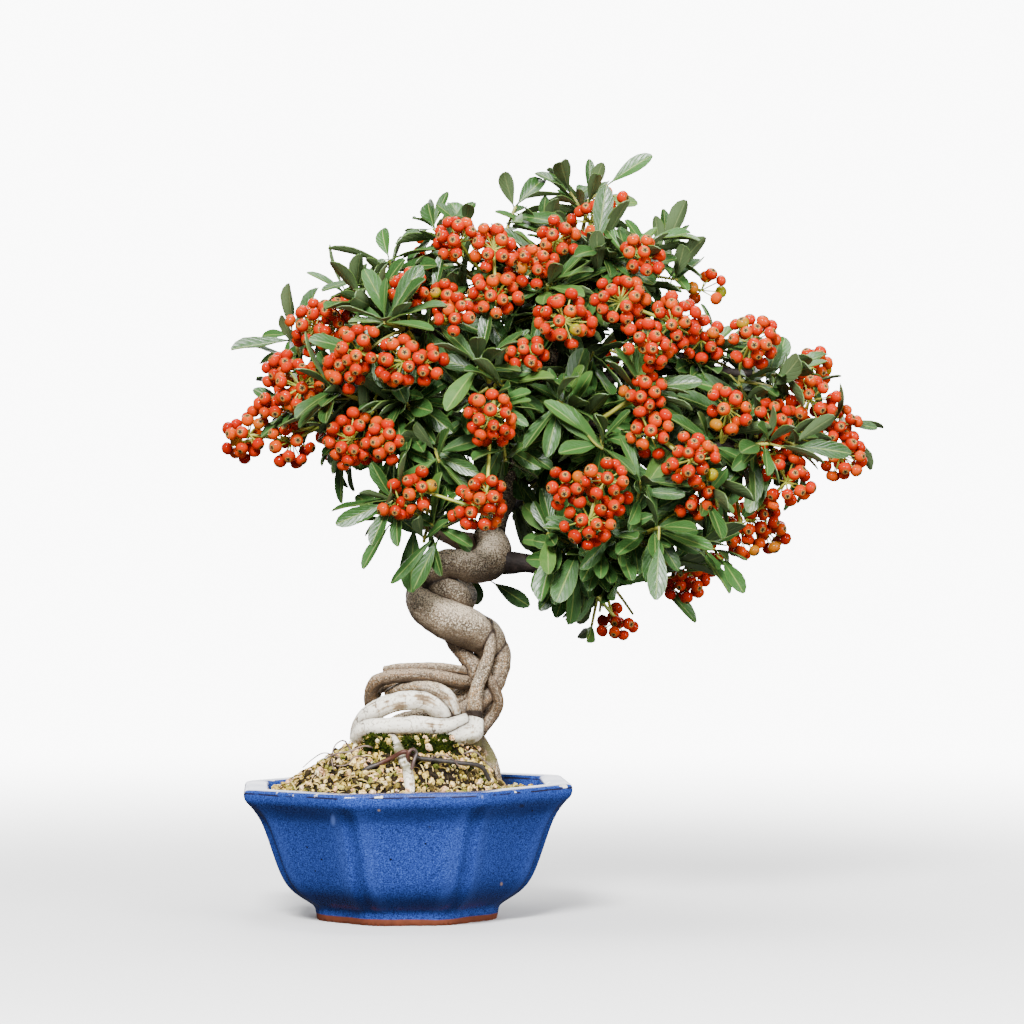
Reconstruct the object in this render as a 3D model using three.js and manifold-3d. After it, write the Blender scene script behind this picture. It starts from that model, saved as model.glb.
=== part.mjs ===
// Firethorn bonsai in an octagonal glazed pot, in millimetres, +Z up.
// The origin is the centre of the pot's foot, and the front of the tree looks along -Y.
import * as THREE from 'three';
import { mergeVertices } from 'three/addons/utils/BufferGeometryUtils.js';
import Module from 'manifold-3d';

const wasm = await Module();
wasm.setup();

// Driving dimensions of the pot: half widths are measured across the flats.
const FACE_TURN = Math.PI / 4;
const POT_TURN = THREE.MathUtils.degToRad(4);
const CORNER_FROM = THREE.MathUtils.degToRad(20);
const UPRIGHT_EDGES = 24;
const FOOT_HALF = 45.5;
const RIM_HALF = 83;
const RIM_HEIGHT = 69;
const RIM_RISE = 0.014;
const LIP_WIDTH = 11.5;
const FLOOR_HEIGHT = 6;
const FLUTE_REACH = 5.5;
const FLUTE_DEPTH = 2.2;
const DRAIN_RADIUS = 5;
const DRAIN_OFFSET = 22;
const DRAIN_SIDES = 12;

// The outside of the pot from the foot up: height, half width and how far the flute is cut.
const POT_OUTSIDE = [
  [0, FOOT_HALF, 0.4],
  [5.5, FOOT_HALF + 1, 0.4],
  [7.5, 46.8, 0.6],
  [13, 56, 0.9],
  [18.5, 61.2, 1],
  [27, 65.4, 1],
  [46, 71.2, 1],
  [54, 74.8, 0.9],
  [60, 79.6, 0.5],
  [62, 82, 0.12],
  [64.5, RIM_HALF, 0.1],
  [67.8, RIM_HALF - 0.1, 0.1],
  [RIM_HEIGHT, RIM_HALF - 1.6, 0.1],
];
const POT_INSIDE = [
  [RIM_HEIGHT, RIM_HALF - LIP_WIDTH, 0],
  [66.5, RIM_HALF - LIP_WIDTH - 1.2, 0],
  [58, 69, 0],
  [46, 64.6, 0],
  [24, 57, 0],
  [12, 47, 0],
  [FLOOR_HEIGHT, 38, 0],
];
// The hollow is cut on past the rim.
const HOLLOW_TOP = [RIM_HEIGHT + 4, RIM_HALF - LIP_WIDTH + 1, 0];

// The soil stands in a steep mound, a little off the pot's middle.
const GAP = 0.3;
const SOIL_EDGE = 63;
const SOIL_HALF = 69;
const MOUND_TOP = 92;
const MOUND_CENTRE = [0, -3];
const MOUND_SHOULDER = { left: 21, right: 33, front: 28, back: 28 };
const MOUND_FOOT = { left: 69, right: 48, front: 70, back: 64 };
const SOIL_RINGS = [0.95, 0.84, 0.73, 0.62, 0.51, 0.4, 0.2];
const SOIL_SIDES = 24;
const WALL_ROWS = 4;
const WALL_GAP = 0.33;
// Two crossing waves roughen the soil: how fast each runs along X and Y, and where it starts.
const GRAIN = 0.7;
const GRAIN_WAVES = [[0.9, 0.37, 0], [-0.41, 0.83, 2]];

// Moss cushions and a binding wire lie on the front of the mound.
const MOSS_PATH = [[-19, -28, 90.5, 4], [-10, -34, 89, 5.5], [-2, -37, 88.5, 5], [7, -37, 89, 5.5],
  [16, -34, 89, 5], [22, -28, 90, 4]];
const MOSS_SIDES = 7;
const MOSS_STEPS = 9;
const WIRE_RADIUS = 1.15;
const WIRE_PATH = [[-22, -46, 74], [-18.7, -48, 78.5], [-12.7, -48, 81], [-5.3, -49, 84.5],
  [0.8, -52, 87.5], [6.5, -49, 84.6], [16.7, -46.5, 83], [27.7, -44, 81.5], [38.6, -37, 79], [43, -33, 72]];
const WIRE_SIDES = 5;
const WIRE_STEPS = 15;

// Trunk sections that coil about each other, as centre points with a radius.
const TRUNK = [
  [[42, 4, 124, 7.2], [43.4, 2, 135, 8.4], [40.9, -2, 142, 9.8], [32.7, -8, 147.5, 10.3],
    [21.6, -12, 152.2, 10.2], [12.8, -8, 157.7, 9.8], [8.8, 1, 163.6, 9.4], [12, 8, 168.5, 9.2]],
  [[9.9, 4, 166.2, 8.6], [14.9, 10, 168.4, 9.2], [22.1, 12, 167.4, 9.1], [26.9, 6, 164.2, 9.1],
    [25.3, -2, 163, 9], [20.6, -6, 166.6, 8.9], [16.3, -5, 172.5, 8.5]],
  [[15.6, -4, 170.5, 8.3], [16.2, -7, 176.8, 8.1], [20, -9, 180.6, 7.8], [27, -10, 180.7, 7.8],
    [35, -9, 179.4, 8.7], [42.2, -5, 182, 9.5], [44.8, 1, 188.6, 9], [41.6, 6, 196, 8.1]],
  [[41.4, 6, 192, 8.2], [45.9, 8, 207.4, 7.2], [54.2, 6, 223.9, 6.6], [62.4, 4, 244.5, 6],
    [68.6, 4, 265.1, 5.4], [74.3, 4, 290.8, 4.6], [82, 2, 318, 3.6], [87, 3, 336, 2.2]],
];

// Roots that loop over the mound before they dive into it, as centre points with a radius.
const ROOTS = [
  [[-10.2, -8, 125.5, 3.6], [-6, -10, 126.6, 3.2], [3.2, -12, 127.7, 3.1], [11.9, -12, 127.7, 3.1],
    [26.1, -8, 126.5, 3.2], [36, 0, 124, 3.4]],
  [[-15, -2, 101, 4.4], [-17.5, -5, 109, 4.6], [-17.6, -9, 116, 4.6], [-14.4, -12, 120.8, 4.6],
    [-7.9, -15, 123.2, 4.6], [3.4, -17, 124, 4.7], [13.5, -16, 123.4, 4.8], [23.6, -12, 121.6, 4.8],
    [34, -4, 119.3, 4.6]],
  [[-9, -6, 114, 3], [-1.8, -13, 117.6, 3.9], [4.9, -17, 118.4, 4.6], [12.5, -18, 117.6, 5],
    [19.1, -18, 114.2, 5.2], [23.2, -17, 108.6, 5], [24.1, -14, 102.3, 5], [23.6, -10, 95, 5]],
  [[-24.4, -12, 91, 4.6], [-22.4, -15, 99, 5], [-19, -18, 103.6, 5.2], [-14.3, -20, 106.8, 5.3],
    [-6.1, -22, 110.3, 5.3], [3, -23, 111.7, 5.4], [11.1, -22, 110.8, 5.4], [16.7, -21, 106.7, 5.4],
    [19.7, -19, 102.1, 5.2], [21.1, -15, 94, 5]],
  [[-25, -16, 91.5, 3.8], [-20.4, -22, 97.4, 4.3], [-6.5, -25, 98.8, 4.6], [7.2, -26, 99.6, 4.6],
    [16.7, -24, 98.6, 4.6], [25.8, -20, 99.6, 4.6], [32, -14, 101, 4.6]],
  [[18, -17, 92, 6], [25.2, -18, 94.6, 7], [33, -16, 95.6, 6.4], [34.6, -14, 101.8, 5.4]],
  [[41.2, -7, 152, 3.9], [43, -11, 141.6, 4.1], [42.2, -12.4, 134.3, 4.1], [39.6, -13, 126.2, 4.2],
    [37, -14, 119.1, 4.3], [35.4, -14, 112, 5], [34.8, -12, 104, 5.5], [34.8, -8, 88, 5.4]],
  [[41, -10, 124.6, 3.4], [44.8, -9, 117.4, 3.8], [47.2, -7, 110.2, 4], [45, -6, 103.5, 4],
    [39.9, -6, 97.3, 4], [34.8, -6, 89, 4]],
  [[42.4, 0, 141.6, 6.4], [46.6, 0, 136.5, 6.8], [47.2, -1, 128.8, 6.8], [45.6, -3, 121.2, 6],
    [42.4, -5, 115.2, 5.2], [36.8, -7, 109.8, 5.2], [29, -7, 104, 5.5], [24, -4, 92, 6]],
  [[28, -2, 137, 4], [31.6, -3.4, 131.8, 4.2], [34.2, -4.6, 127, 4.2], [34, -4, 120, 4]],
  [[43, 4, 126, 7], [41.8, 6, 115.7, 6.6], [36.7, 7, 106.4, 7.2], [31, 7, 97.1, 8], [28, 5, 84, 8]],
  [[40.8, 4, 119, 5.6], [32.6, 2, 114.6, 6.5], [26, 0, 109.6, 6.4], [19, 0, 103, 6.2], [14, 0, 88, 6]],
  [[-9, -23, 99, 3.8], [-6.4, -31, 96.4, 4], [-2.6, -39, 89.6, 4], [0.6, -47, 83, 4],
    [3.2, -57, 73.6, 3.6], [4, -63, 64, 3]],
  [[32, -4, 94, 6], [37, -2, 88.6, 6], [42, 0, 80.5, 5.4], [45.5, 2, 70, 4.6], [47, 3, 60, 4]],
  [[-17, -4, 113, 4], [-16, 8, 117, 4.2], [-6, 18, 119.4, 4.4], [10, 23, 119.6, 4.6],
    [26, 20, 118, 4.8], [38, 9, 116, 4.8]],
  [[34, 10, 112, 5], [24, 20, 106, 5], [10, 26, 101, 5], [-6, 26, 97, 4.8], [-17, 20, 88, 4.4]],
  [[34, 12, 104, 5], [36, 22, 98, 5], [32, 32, 91, 4.8], [26, 42, 80, 4.4], [23, 50, 68, 3.8]],
  [[-18, -7, 104, 4.2], [-22, 2, 99, 4.4], [-24, 10, 92, 4.2], [-26, 16, 82, 4]],
];
const TRUNK_SIDES = 8;
const ROOT_SIDES = 5;
const ROOT_STEPS_PER_POINT = 0.6;

// Limbs and branches of the crown. Each starts inside the wood that bears it, and all but the
// cut ones bear a leafy spray at the end.
const LIMBS = {
  cut_stub: [[43, -2, 182, 7], [61, -5, 181, 4.9], [81, -12, 180, 4.5], [106, -15, 179, 4.2]],
  cut_spur: [[86, -13, 179, 2.2], [90, -14, 171, 2], [94, -14, 165, 1.9]],
  low_left: [[38, 6, 189, 6], [28, 5, 193, 5], [18, -4, 196.5, 4], [8, -20, 204, 2.4]],
  low_front: [[97, -14, 181, 3], [106, -28, 189, 2.6], [118, -46, 195, 2]],
  low_front_inner: [[86, -12, 181, 2.6], [91, -20, 185, 2.2], [95, -28, 187, 1.8]],
  low_back: [[98, -14, 178, 2.6], [100, -6, 175, 2.2], [102, 0, 173, 1.8]],
  right_middle: [[54, 6, 224, 5], [85, -8, 232, 4], [125, -22, 238, 3.2], [166, -38, 240, 2]],
  right_tip: [[136, -26, 239, 2.6], [172, -20, 245, 2.2], [204, -12, 250, 1.7]],
  right_upper: [[66, 4, 256, 4.6], [100, -6, 275, 3.8], [140, -14, 280, 3], [176, -22, 277, 2]],
  right_upper_inner: [[126, -11, 279, 2.4], [138, -14, 285, 2.1], [148, -17, 287, 1.7]],
  left_middle: [[57, 6, 231, 4.6], [35, -4, 244, 3.8], [8, -16, 256, 2.8], [-20, -33, 263, 2]],
  left_inner: [[18, -11, 252, 2.6], [12, -18, 252, 2.2], [8, -24, 252, 1.8]],
  left_tip: [[-4, -23, 259, 2.2], [-26, -20, 256, 1.9], [-46, -18, 255, 1.6]],
  left_upper: [[69, 4, 265, 4.4], [45, -6, 284, 3.6], [18, -14, 297, 2.8], [-14, -12, 309, 1.9]],
  left_front: [[22, -12, 295, 2.4], [8, -32, 298, 2.1], [0, -42, 299, 1.7]],
  front_middle: [[62, 4, 244, 4.4], [54, -18, 258, 3.2], [43, -44, 272, 2]],
  front_right: [[58, 5, 234, 4.4], [76, -14, 243, 3.4], [96, -36, 252, 2.1]],
  upper_left: [[76, 4, 297, 3.6], [58, -4, 312, 2.8], [38, -10, 325, 1.9]],
  upper_front: [[72, 2, 303, 2.6], [72, -18, 309, 2.2], [72, -28, 313, 1.8]],
  upper_right: [[79, 3, 308, 3.2], [100, 0, 320, 2.6], [118, 3, 331, 1.8]],
  upper_right_front: [[97, 0, 318, 2.2], [104, -12, 323, 2], [109, -22, 326, 1.7]],
  back_left: [[60, 4, 240, 4.4], [40, 34, 252, 3.6], [14, 62, 262, 2.8], [-14, 84, 270, 1.9]],
  back_left_side: [[24, 52, 258, 2.6], [-8, 57, 261, 2.2], [-36, 58, 261, 1.7]],
  back_middle: [[72, 4, 280, 4], [78, 34, 292, 3.2], [81, 66, 302, 2.6], [82, 97, 308, 1.8]],
  back_top: [[79, 46, 296, 2.4], [85, 62, 314, 2.1], [89, 71, 327, 1.7]],
  back_inner: [[81, 62, 301, 2.4], [52, 80, 297, 2.1], [30, 95, 292, 1.7]],
  back_right: [[55, 6, 226, 4.4], [84, 32, 240, 3.6], [116, 58, 252, 2.8], [140, 84, 262, 1.9]],
  back_right_side: [[104, 48, 248, 2.6], [136, 53, 252, 2.2], [162, 57, 254, 1.7]],
  back_low: [[48, 8, 212, 4.4], [54, 34, 212, 3.4], [60, 64, 216, 2.6], [62, 92, 220, 1.8]],
};
const LIMB_SIDES = 4;

// Leafy sprays: the limb each grows from, and its leaf rosettes as [x, y, z, leaves].
const SPRAYS = {
  leaves_crown_tip: ['TRUNK', [[94, 8, 369, 4], [70, 0, 350, 4]]],
  leaves_upper_left: ['upper_left', [[24, -15, 336, 4]]],
  leaves_upper_front: ['upper_front', [[72, -42, 321, 4]]],
  leaves_upper_right: ['upper_right', [[133, 5, 341, 4]]],
  leaves_upper_right_front: ['upper_right_front', [[113, -36, 332, 4]]],
  leaves_left_upper: ['left_upper', [[-30, -10, 318, 5]]],
  leaves_left_front: ['left_front', [[-9, -56, 301, 4]]],
  leaves_left_middle: ['left_middle', [[-36, -41, 269, 4]]],
  leaves_left_inner: ['left_inner', [[-1, -36, 266, 4], [-6, -32, 238, 3]]],
  leaves_left_tip: ['left_tip', [[-62, -12, 260, 3]]],
  leaves_front_middle: ['front_middle', [[37, -60, 281, 5]]],
  leaves_front_right: ['front_right', [[121, -56, 268, 4], [99, -62, 238, 4]]],
  leaves_right_middle: ['right_middle', [[183, -46, 241, 4]]],
  leaves_right_tip: ['right_tip', [[222, -9, 253, 4]]],
  leaves_right_upper: ['right_upper', [[194, -26, 276, 4]]],
  leaves_right_upper_inner: ['right_upper_inner', [[162, -20, 291, 4]]],
  leaves_low_front: ['low_front', [[127, -63, 199, 5]]],
  leaves_low_front_inner: ['low_front_inner', [[99, -46, 189, 4]]],
  leaves_low_back: ['low_back', [[104, 14, 170, 4]]],
  leaves_low_left: ['low_left', [[-5, -50, 213, 4], [15, -41, 200, 4]]],
  leaves_back_left: ['back_left', [[-28, 95, 276, 5]]],
  leaves_back_left_side: ['back_left_side', [[-54, 59, 263, 4]]],
  leaves_back_middle: ['back_middle', [[82, 114, 313, 5]]],
  leaves_back_top: ['back_top', [[91, 80, 342, 4]]],
  leaves_back_inner: ['back_inner', [[15, 106, 292, 4]]],
  leaves_back_right: ['back_right', [[150, 99, 269, 5]]],
  leaves_back_right_side: ['back_right_side', [[179, 60, 257, 4]]],
  leaves_back_low: ['back_low', [[62, 110, 224, 4]]],
};

// Berry bunches as lists of clusters, [x, y, z, reach of the berries, berries].
const BUNCHES = {
  berries_left_tip: [[-58, -14, 243, 13, 4], [-80, -9, 247, 12, 4]],
  berries_left: [[-52, -30, 270, 14, 5]],
  berries_left_upper: [[-46, -24, 300, 13, 4]],
  berries_left_front: [[0, -62, 281, 13, 4], [-22, -58, 286, 13, 4]],
  berries_left_low: [[-26, -50, 243, 14, 5]],
  berries_upper_left: [[45, -46, 338, 13, 5], [46, -48, 314, 13, 4], [21, -42, 312, 11, 3]],
  berries_upper_back_left: [[10, 14, 340, 10, 4]],
  berries_front_middle: [[44, -76, 254, 13, 5]],
  berries_upper: [[76, -34, 343, 12, 4]],
  berries_top: [[94, -4, 356, 11, 3], [106, 0, 370, 9, 3]],
  berries_front_upper: [[80, -66, 301, 14, 5]],
  berries_upper_right: [[108, -56, 311, 14, 4], [134, -52, 301, 14, 4]],
  berries_upper_right_back: [[152, 10, 322, 12, 4]],
  berries_right_inner: [[122, -66, 246, 12, 4], [142, -70, 232, 13, 4]],
  berries_front_low: [[100, -84, 222, 12, 4], [92, -78, 203, 13, 4]],
  berries_right_upper: [[174, -42, 292, 14, 4]],
  berries_right: [[205, -24, 264, 14, 5]],
  berries_right_front: [[162, -52, 258, 12, 4]],
  berries_right_tip: [[222, -14, 236, 13, 4]],
  berries_right_low: [[192, -36, 222, 14, 4], [176, -12, 204, 14, 4]],
  berries_low_back: [[150, 12, 184, 12, 4]],
  berries_lowest: [[106, 4, 153, 9, 4]],
  berries_low_left: [[8, -56, 218, 11, 4], [38, -60, 208, 13, 4]],
  berries_back_left: [[-38, 82, 250, 14, 4], [-4, 104, 262, 14, 4]],
  berries_back_middle: [[48, 116, 290, 14, 4], [56, 96, 328, 13, 4]],
  berries_back_right: [[118, 100, 292, 14, 4], [158, 84, 242, 14, 4]],
  berries_back_low: [[92, 104, 214, 14, 4]],
};

// A leaf: its stations are a share of its length and of its width, and tilts are in degrees
// from the stem.
const LEAF_LENGTH = [19, 30];
const LEAF_WIDTH = [7, 10];
const LEAF_THICKNESS = 0.7;
const LEAF_STATIONS = [[0, 0], [0.62, 1], [1, 0.45]];
const LEAF_DROOP = 0.12;
const LEAF_ROLL = 0.6;
const LEAF_LOOK_UP = 1.1;
const LEAF_SPACING = 2.4;
const TIP_LEAF_TILT = [10, 35];
const SIDE_LEAF_TILT = [48, 85];
const GOLDEN_ANGLE = THREE.MathUtils.degToRad(137.5);
const TURN_SHAKE = 0.5;

// Stems of the sprays: the first is the thick one, and each thins towards its rosette.
const TWIG_RADIUS = 1;
const FIRST_STEM_SHARE = 1.5;
const NEXT_STEM_SHARE = 1.15;
const STEM_TAPER = 0.13;
const STEM_LEAD = 3;
const NEXT_STEM_START = 1.2;

// A berry: its widest ring and its eye are set against its middle, outwards along its stalk.
const BERRY_RADIUS = 3.5;
const BERRY_SIDES = 5;
const BERRY_WAIST = -0.6;
const EYE_RADIUS = 2.5;
const EYE_RIM = 2.2;
const EYE_FLOOR = 1.7;

// A cluster: a core that the berries stand round, on a stalk from the nearest limb.
const CORE_RADIUS = 7.5;
const CORE_BALL_SHARE = 0.8;
const PEDUNCLE_RADIUS = 0.9;
const STALK_LEAD = 2.5;
const REACH_SHAKE = [-1.2, 1];
const WAY_SHAKE = 0.16;
const CORE_LEAN = 3;
// The core's eight faces, in an order that keeps a short list even.
const CORNER_SIGNS = [[1, 1, 1], [-1, -1, 1], [1, -1, -1], [-1, 1, -1], [-1, 1, 1], [1, -1, 1], [1, 1, -1],
  [-1, -1, -1]];
// Stalks leave a limb between these of its equal steps.
const LIMB_STEPS = 20;
const FIRST_STALK_STEP = 6;
const LAST_STALK_STEP = 19;

const CROWN_CENTRE = new THREE.Vector3(72, 5, 255);
const TWIG_SIDES = 3;
const TWIG_STEPS = 2;
const X_AXIS = new THREE.Vector3(1, 0, 0);
const Y_AXIS = new THREE.Vector3(0, 1, 0);
const Z_AXIS = new THREE.Vector3(0, 0, 1);

// How finely the pieces are covered by balls that keep them apart, and how often a leaf or a
// berry looks for a free place, turned further each time.
const BALL_EVERY = 3;
const BALL_MARGIN = 0.3;
const LEAF_BALL_MARGIN = 0.2;
const LEAF_BALL_ROWS = 6;
const LEAF_BALL_START = 0.12;
const LEAF_BALL_STEP = 0.16;
const TRIES = 14;
const RETRY_TURN = 0.9;

const BLUE_GLAZE = { color: 0x2f4f9e, roughness: 0.22, metalness: 0 };
const SOIL = { color: 0x8a7650, roughness: 0.95, metalness: 0 };
const MOSS = { color: 0x2f4416, roughness: 0.95, metalness: 0 };
const WIRE = { color: 0x2b2826, roughness: 0.5, metalness: 0.6 };
const BARK = { color: 0x8b7c6a, roughness: 0.8, metalness: 0 };
const LEAF = { color: 0x3c5f2c, roughness: 0.4, metalness: 0 };
const BERRY = { color: 0xd8451c, roughness: 0.25, metalness: 0 };

// A repeatable run of numbers from 0 to 1, started afresh for each bunch and spray.
const FIRST_SEED = 20641;
const SEED_STEP = 7919;
const FIRST_SPRAY_SEED = 100;
const CHANCE_FACTOR = 16807;
const CHANCE_RANGE = 2147483647;
let seed = FIRST_SEED;

function chance() {
  seed = (seed * CHANCE_FACTOR) % CHANCE_RANGE;
  return seed / CHANCE_RANGE;
}

function between(low, high) {
  return low + (high - low) * chance();
}

function vector([x, y, z]) {
  return new THREE.Vector3(x, y, z);
}

// Solids: a geometry, bent by a function of each point, becomes a closed body.
function solid(geometry, bend) {
  const bare = geometry.clone();
  bare.deleteAttribute('normal');
  bare.deleteAttribute('uv');
  const place = bare.attributes.position;
  const point = new THREE.Vector3();
  for (let i = 0; bend && i < place.count; i += 1) {
    point.fromBufferAttribute(place, i);
    const moved = bend(point);
    place.setXYZ(i, moved.x, moved.y, moved.z);
  }
  const merged = mergeVertices(bare, 1e-4);
  const corners = merged.index.array;
  const kept = [];
  for (let i = 0; i < corners.length; i += 3) {
    const [a, b, c] = corners.subarray(i, i + 3);
    if (a !== b && b !== c && c !== a) kept.push(a, b, c);
  }
  return new wasm.Manifold(new wasm.Mesh({
    numProp: 3,
    vertProperties: new Float32Array(merged.attributes.position.array),
    triVerts: new Uint32Array(kept),
  }));
}

function joined(solids) {
  return solids.reduce((sum, next) => sum.add(next));
}

function mesh(name, body, look) {
  const data = body.getMesh();
  const geometry = new THREE.BufferGeometry();
  geometry.setAttribute('position', new THREE.BufferAttribute(data.vertProperties, 3));
  geometry.setIndex(new THREE.BufferAttribute(data.triVerts, 1));
  geometry.computeVertexNormals();
  const made = new THREE.Mesh(geometry, new THREE.MeshStandardMaterial(look));
  made.name = name;
  return made;
}

// Tapered round pieces along a smooth curve through points that carry a radius.
function route(points) {
  const curve = new THREE.CatmullRomCurve3(points.map(vector), false, 'centripetal');
  const radii = points.map((point) => point[3]);
  const radiusAt = (u) => {
    const place = curve.getUtoTmapping(u) * (radii.length - 1);
    const low = Math.min(Math.floor(place), radii.length - 2);
    return THREE.MathUtils.lerp(radii[low], radii[low + 1], place - low);
  };
  return { curve, radiusAt };
}

function taper(points, sides, steps, grow = 0) {
  const { curve, radiusAt } = route(points);
  const frames = curve.computeFrenetFrames(steps, false);
  const centres = frames.tangents.map((_, i) => curve.getPointAt(i / steps));
  return solid(new THREE.CylinderGeometry(1, 1, 1, sides, steps), (point) => {
    const i = Math.round((point.y + 0.5) * steps);
    const radius = radiusAt(i / steps) + grow;
    return centres[i].clone()
      .addScaledVector(frames.normals[i], point.x * radius)
      .addScaledVector(frames.binormals[i], -point.z * radius);
  });
}

// Pot: an octagon whose corners are cut by shallow upright flutes.
function octagonPoint(turn, half, flute, height) {
  const facing = Math.round((turn - POT_TURN) / FACE_TURN) * FACE_TURN + POT_TURN;
  const fromFace = turn - facing;
  const corner = half * Math.tan(FACE_TURN / 2);
  const isCorner = Math.abs(fromFace) > CORNER_FROM;
  const along = isCorner ? Math.sign(fromFace) * corner : Math.sign(fromFace) * (corner - FLUTE_REACH);
  const out = new THREE.Vector2(half, along).rotateAround(new THREE.Vector2(), facing);
  if (isCorner) out.setLength(out.length() - FLUTE_DEPTH * flute);
  const rise = RIM_RISE * out.x * (height / RIM_HEIGHT) ** 2;
  return new THREE.Vector3(out.x, out.y, height + rise);
}

function onAxis(point) {
  return Math.hypot(point.x, point.z) < 1e-6;
}

// Three points a side are turned onto the corner and the two ends of the faces beside it.
function octagonSolid(profile) {
  const heights = profile.map(([height]) => height);
  const points = profile.map(([, half], i) => new THREE.Vector2(half, i));
  const shape = [new THREE.Vector2(0, 0), ...points, new THREE.Vector2(0, points.length - 1)];
  return solid(new THREE.LatheGeometry(shape, UPRIGHT_EDGES), (point) => {
    const row = Math.round(point.y);
    const [, half, flute] = profile[row];
    if (onAxis(point)) return new THREE.Vector3(0, 0, heights[row]);
    const step = Math.round(Math.atan2(point.x, point.z) / (FACE_TURN / 3));
    const side = Math.round(step / 3);
    const turn = side * FACE_TURN + FACE_TURN / 2 + (step - side * 3) * (FACE_TURN / 3) + POT_TURN;
    return octagonPoint(turn, half, flute, heights[row]);
  });
}

function makePot() {
  const outside = octagonSolid(POT_OUTSIDE);
  const inside = octagonSolid([...[...POT_INSIDE].reverse(), HOLLOW_TOP]);
  const hole = new THREE.CylinderGeometry(DRAIN_RADIUS, DRAIN_RADIUS, FLOOR_HEIGHT * 4, DRAIN_SIDES);
  hole.rotateX(Math.PI / 2);
  const holes = [-DRAIN_OFFSET, DRAIN_OFFSET].map((x) => solid(hole.clone().translate(x, 0, 0)));
  return outside.subtract(inside).subtract(holes[0]).subtract(holes[1]);
}

// Soil: it fills the pot to its walls and rises in a mound, rough with grains.
function reachTowards({ left, right, front, back }, dx, dy) {
  const distance = Math.max(Math.hypot(dx, dy), 1e-6);
  return distance / Math.max(Math.hypot(dx / (dx < 0 ? left : right), dy / (dy < 0 ? front : back)), 1e-9);
}

function moundHeight(x, y) {
  const dx = x - MOUND_CENTRE[0];
  const dy = y - MOUND_CENTRE[1];
  const foot = reachTowards(MOUND_FOOT, dx, dy);
  const shoulder = reachTowards(MOUND_SHOULDER, dx, dy);
  const rise = THREE.MathUtils.clamp((foot - Math.hypot(dx, dy)) / (foot - shoulder), 0, 1);
  const waves = GRAIN_WAVES.map(([alongX, alongY, start]) => Math.sin(x * alongX + y * alongY + start));
  return SOIL_EDGE + (MOUND_TOP - SOIL_EDGE) * rise + GRAIN * (waves[0] + waves[1]);
}

function makeSoil() {
  const wall = [...POT_INSIDE].reverse().slice(0, WALL_ROWS);
  const side = wall.map(([height, half]) => [height + GAP, half - WALL_GAP]);
  side.push([SOIL_EDGE, SOIL_HALF]);
  const top = SOIL_RINGS.map((share) => [SOIL_EDGE, SOIL_HALF * share]);
  const rows = side.concat(top);
  const shape = [new THREE.Vector2(0, 0), ...rows.map(([, half], i) => new THREE.Vector2(half, i))];
  shape.push(new THREE.Vector2(0, rows.length - 1));
  return solid(new THREE.LatheGeometry(shape, SOIL_SIDES), (point) => {
    const row = Math.round(point.y);
    if (onAxis(point)) return new THREE.Vector3(0, 0, row === 0 ? rows[0][0] : moundHeight(0, 0));
    const turn = Math.atan2(point.x, point.z);
    const fromCorner = THREE.MathUtils.euclideanModulo(turn - POT_TURN + FACE_TURN / 2, FACE_TURN);
    const folded = fromCorner - FACE_TURN / 2;
    const half = rows[row][1];
    const corner = half / Math.cos(folded);
    const squareness = row < side.length ? 1 : (half / SOIL_HALF) ** 2;
    const reach = THREE.MathUtils.lerp(half, corner, squareness);
    const x = reach * Math.cos(turn);
    const y = reach * Math.sin(turn);
    const z = row < side.length - 1 ? rows[row][0] : moundHeight(x, y);
    return new THREE.Vector3(x, y, z);
  });
}

// Clearance between the pieces: each piece is covered by balls, and balls of two pieces
// keep apart.
const taken = [];

function free(balls, owner) {
  return balls.every((ball) => taken.every((other) => {
    if (other.owner === owner) return true;
    const reach = ball.r + other.r + GAP;
    return (ball.x - other.x) ** 2 + (ball.y - other.y) ** 2 + (ball.z - other.z) ** 2 > reach * reach;
  }));
}

function take(balls, owner) {
  for (const ball of balls) taken.push({ ...ball, owner });
}

function ballsAlong(points) {
  const { curve, radiusAt } = route(points);
  const count = Math.max(2, Math.ceil(curve.getLength() / BALL_EVERY));
  return Array.from({ length: count + 1 }, (_, i) => {
    const { x, y, z } = curve.getPointAt(i / count);
    return { x, y, z, r: radiusAt(i / count) + BALL_MARGIN };
  });
}

// Wood: the coiled trunk, the roots, the limbs and the branches are one grown piece.
function woodPieces(grow) {
  const trunk = TRUNK.map((points) => taper(points, TRUNK_SIDES, points.length - 1, grow));
  const roots = ROOTS.map((points) => {
    const steps = Math.ceil(points.length * ROOT_STEPS_PER_POINT);
    return taper(points, ROOT_SIDES, steps, grow);
  });
  return [...trunk, ...roots];
}

function makeWood() {
  const limbs = Object.values(LIMBS).map((points) => taper(points, LIMB_SIDES, points.length - 1));
  return joined([...woodPieces(0), ...limbs]);
}

// Leaves: a narrow base, the widest part past the middle and a blunt tip.
function leafPoint(leaf, t, lift) {
  return leaf.base.clone()
    .addScaledVector(leaf.along, leaf.length * t)
    .addScaledVector(leaf.normal, lift - LEAF_DROOP * leaf.length * t * t);
}

// Balls in pairs across the leaf, smaller where it narrows.
function leafBalls(leaf) {
  const balls = [];
  for (let i = 0; i < LEAF_BALL_ROWS; i += 1) {
    const t = LEAF_BALL_START + LEAF_BALL_STEP * i;
    const wide = leaf.width * Math.min(1, 0.25 + 1.1 * t) * (t > 0.9 ? 0.75 : 1);
    const middle = leafPoint(leaf, t, 0);
    for (const side of [-1, 1]) {
      const { x, y, z } = middle.clone().addScaledVector(leaf.across, side * wide * 0.25);
      const radius = Math.hypot(wide * 0.25, leaf.length * LEAF_BALL_STEP / 2);
      balls.push({ x, y, z, r: radius + LEAF_BALL_MARGIN });
    }
  }
  return balls;
}

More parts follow.
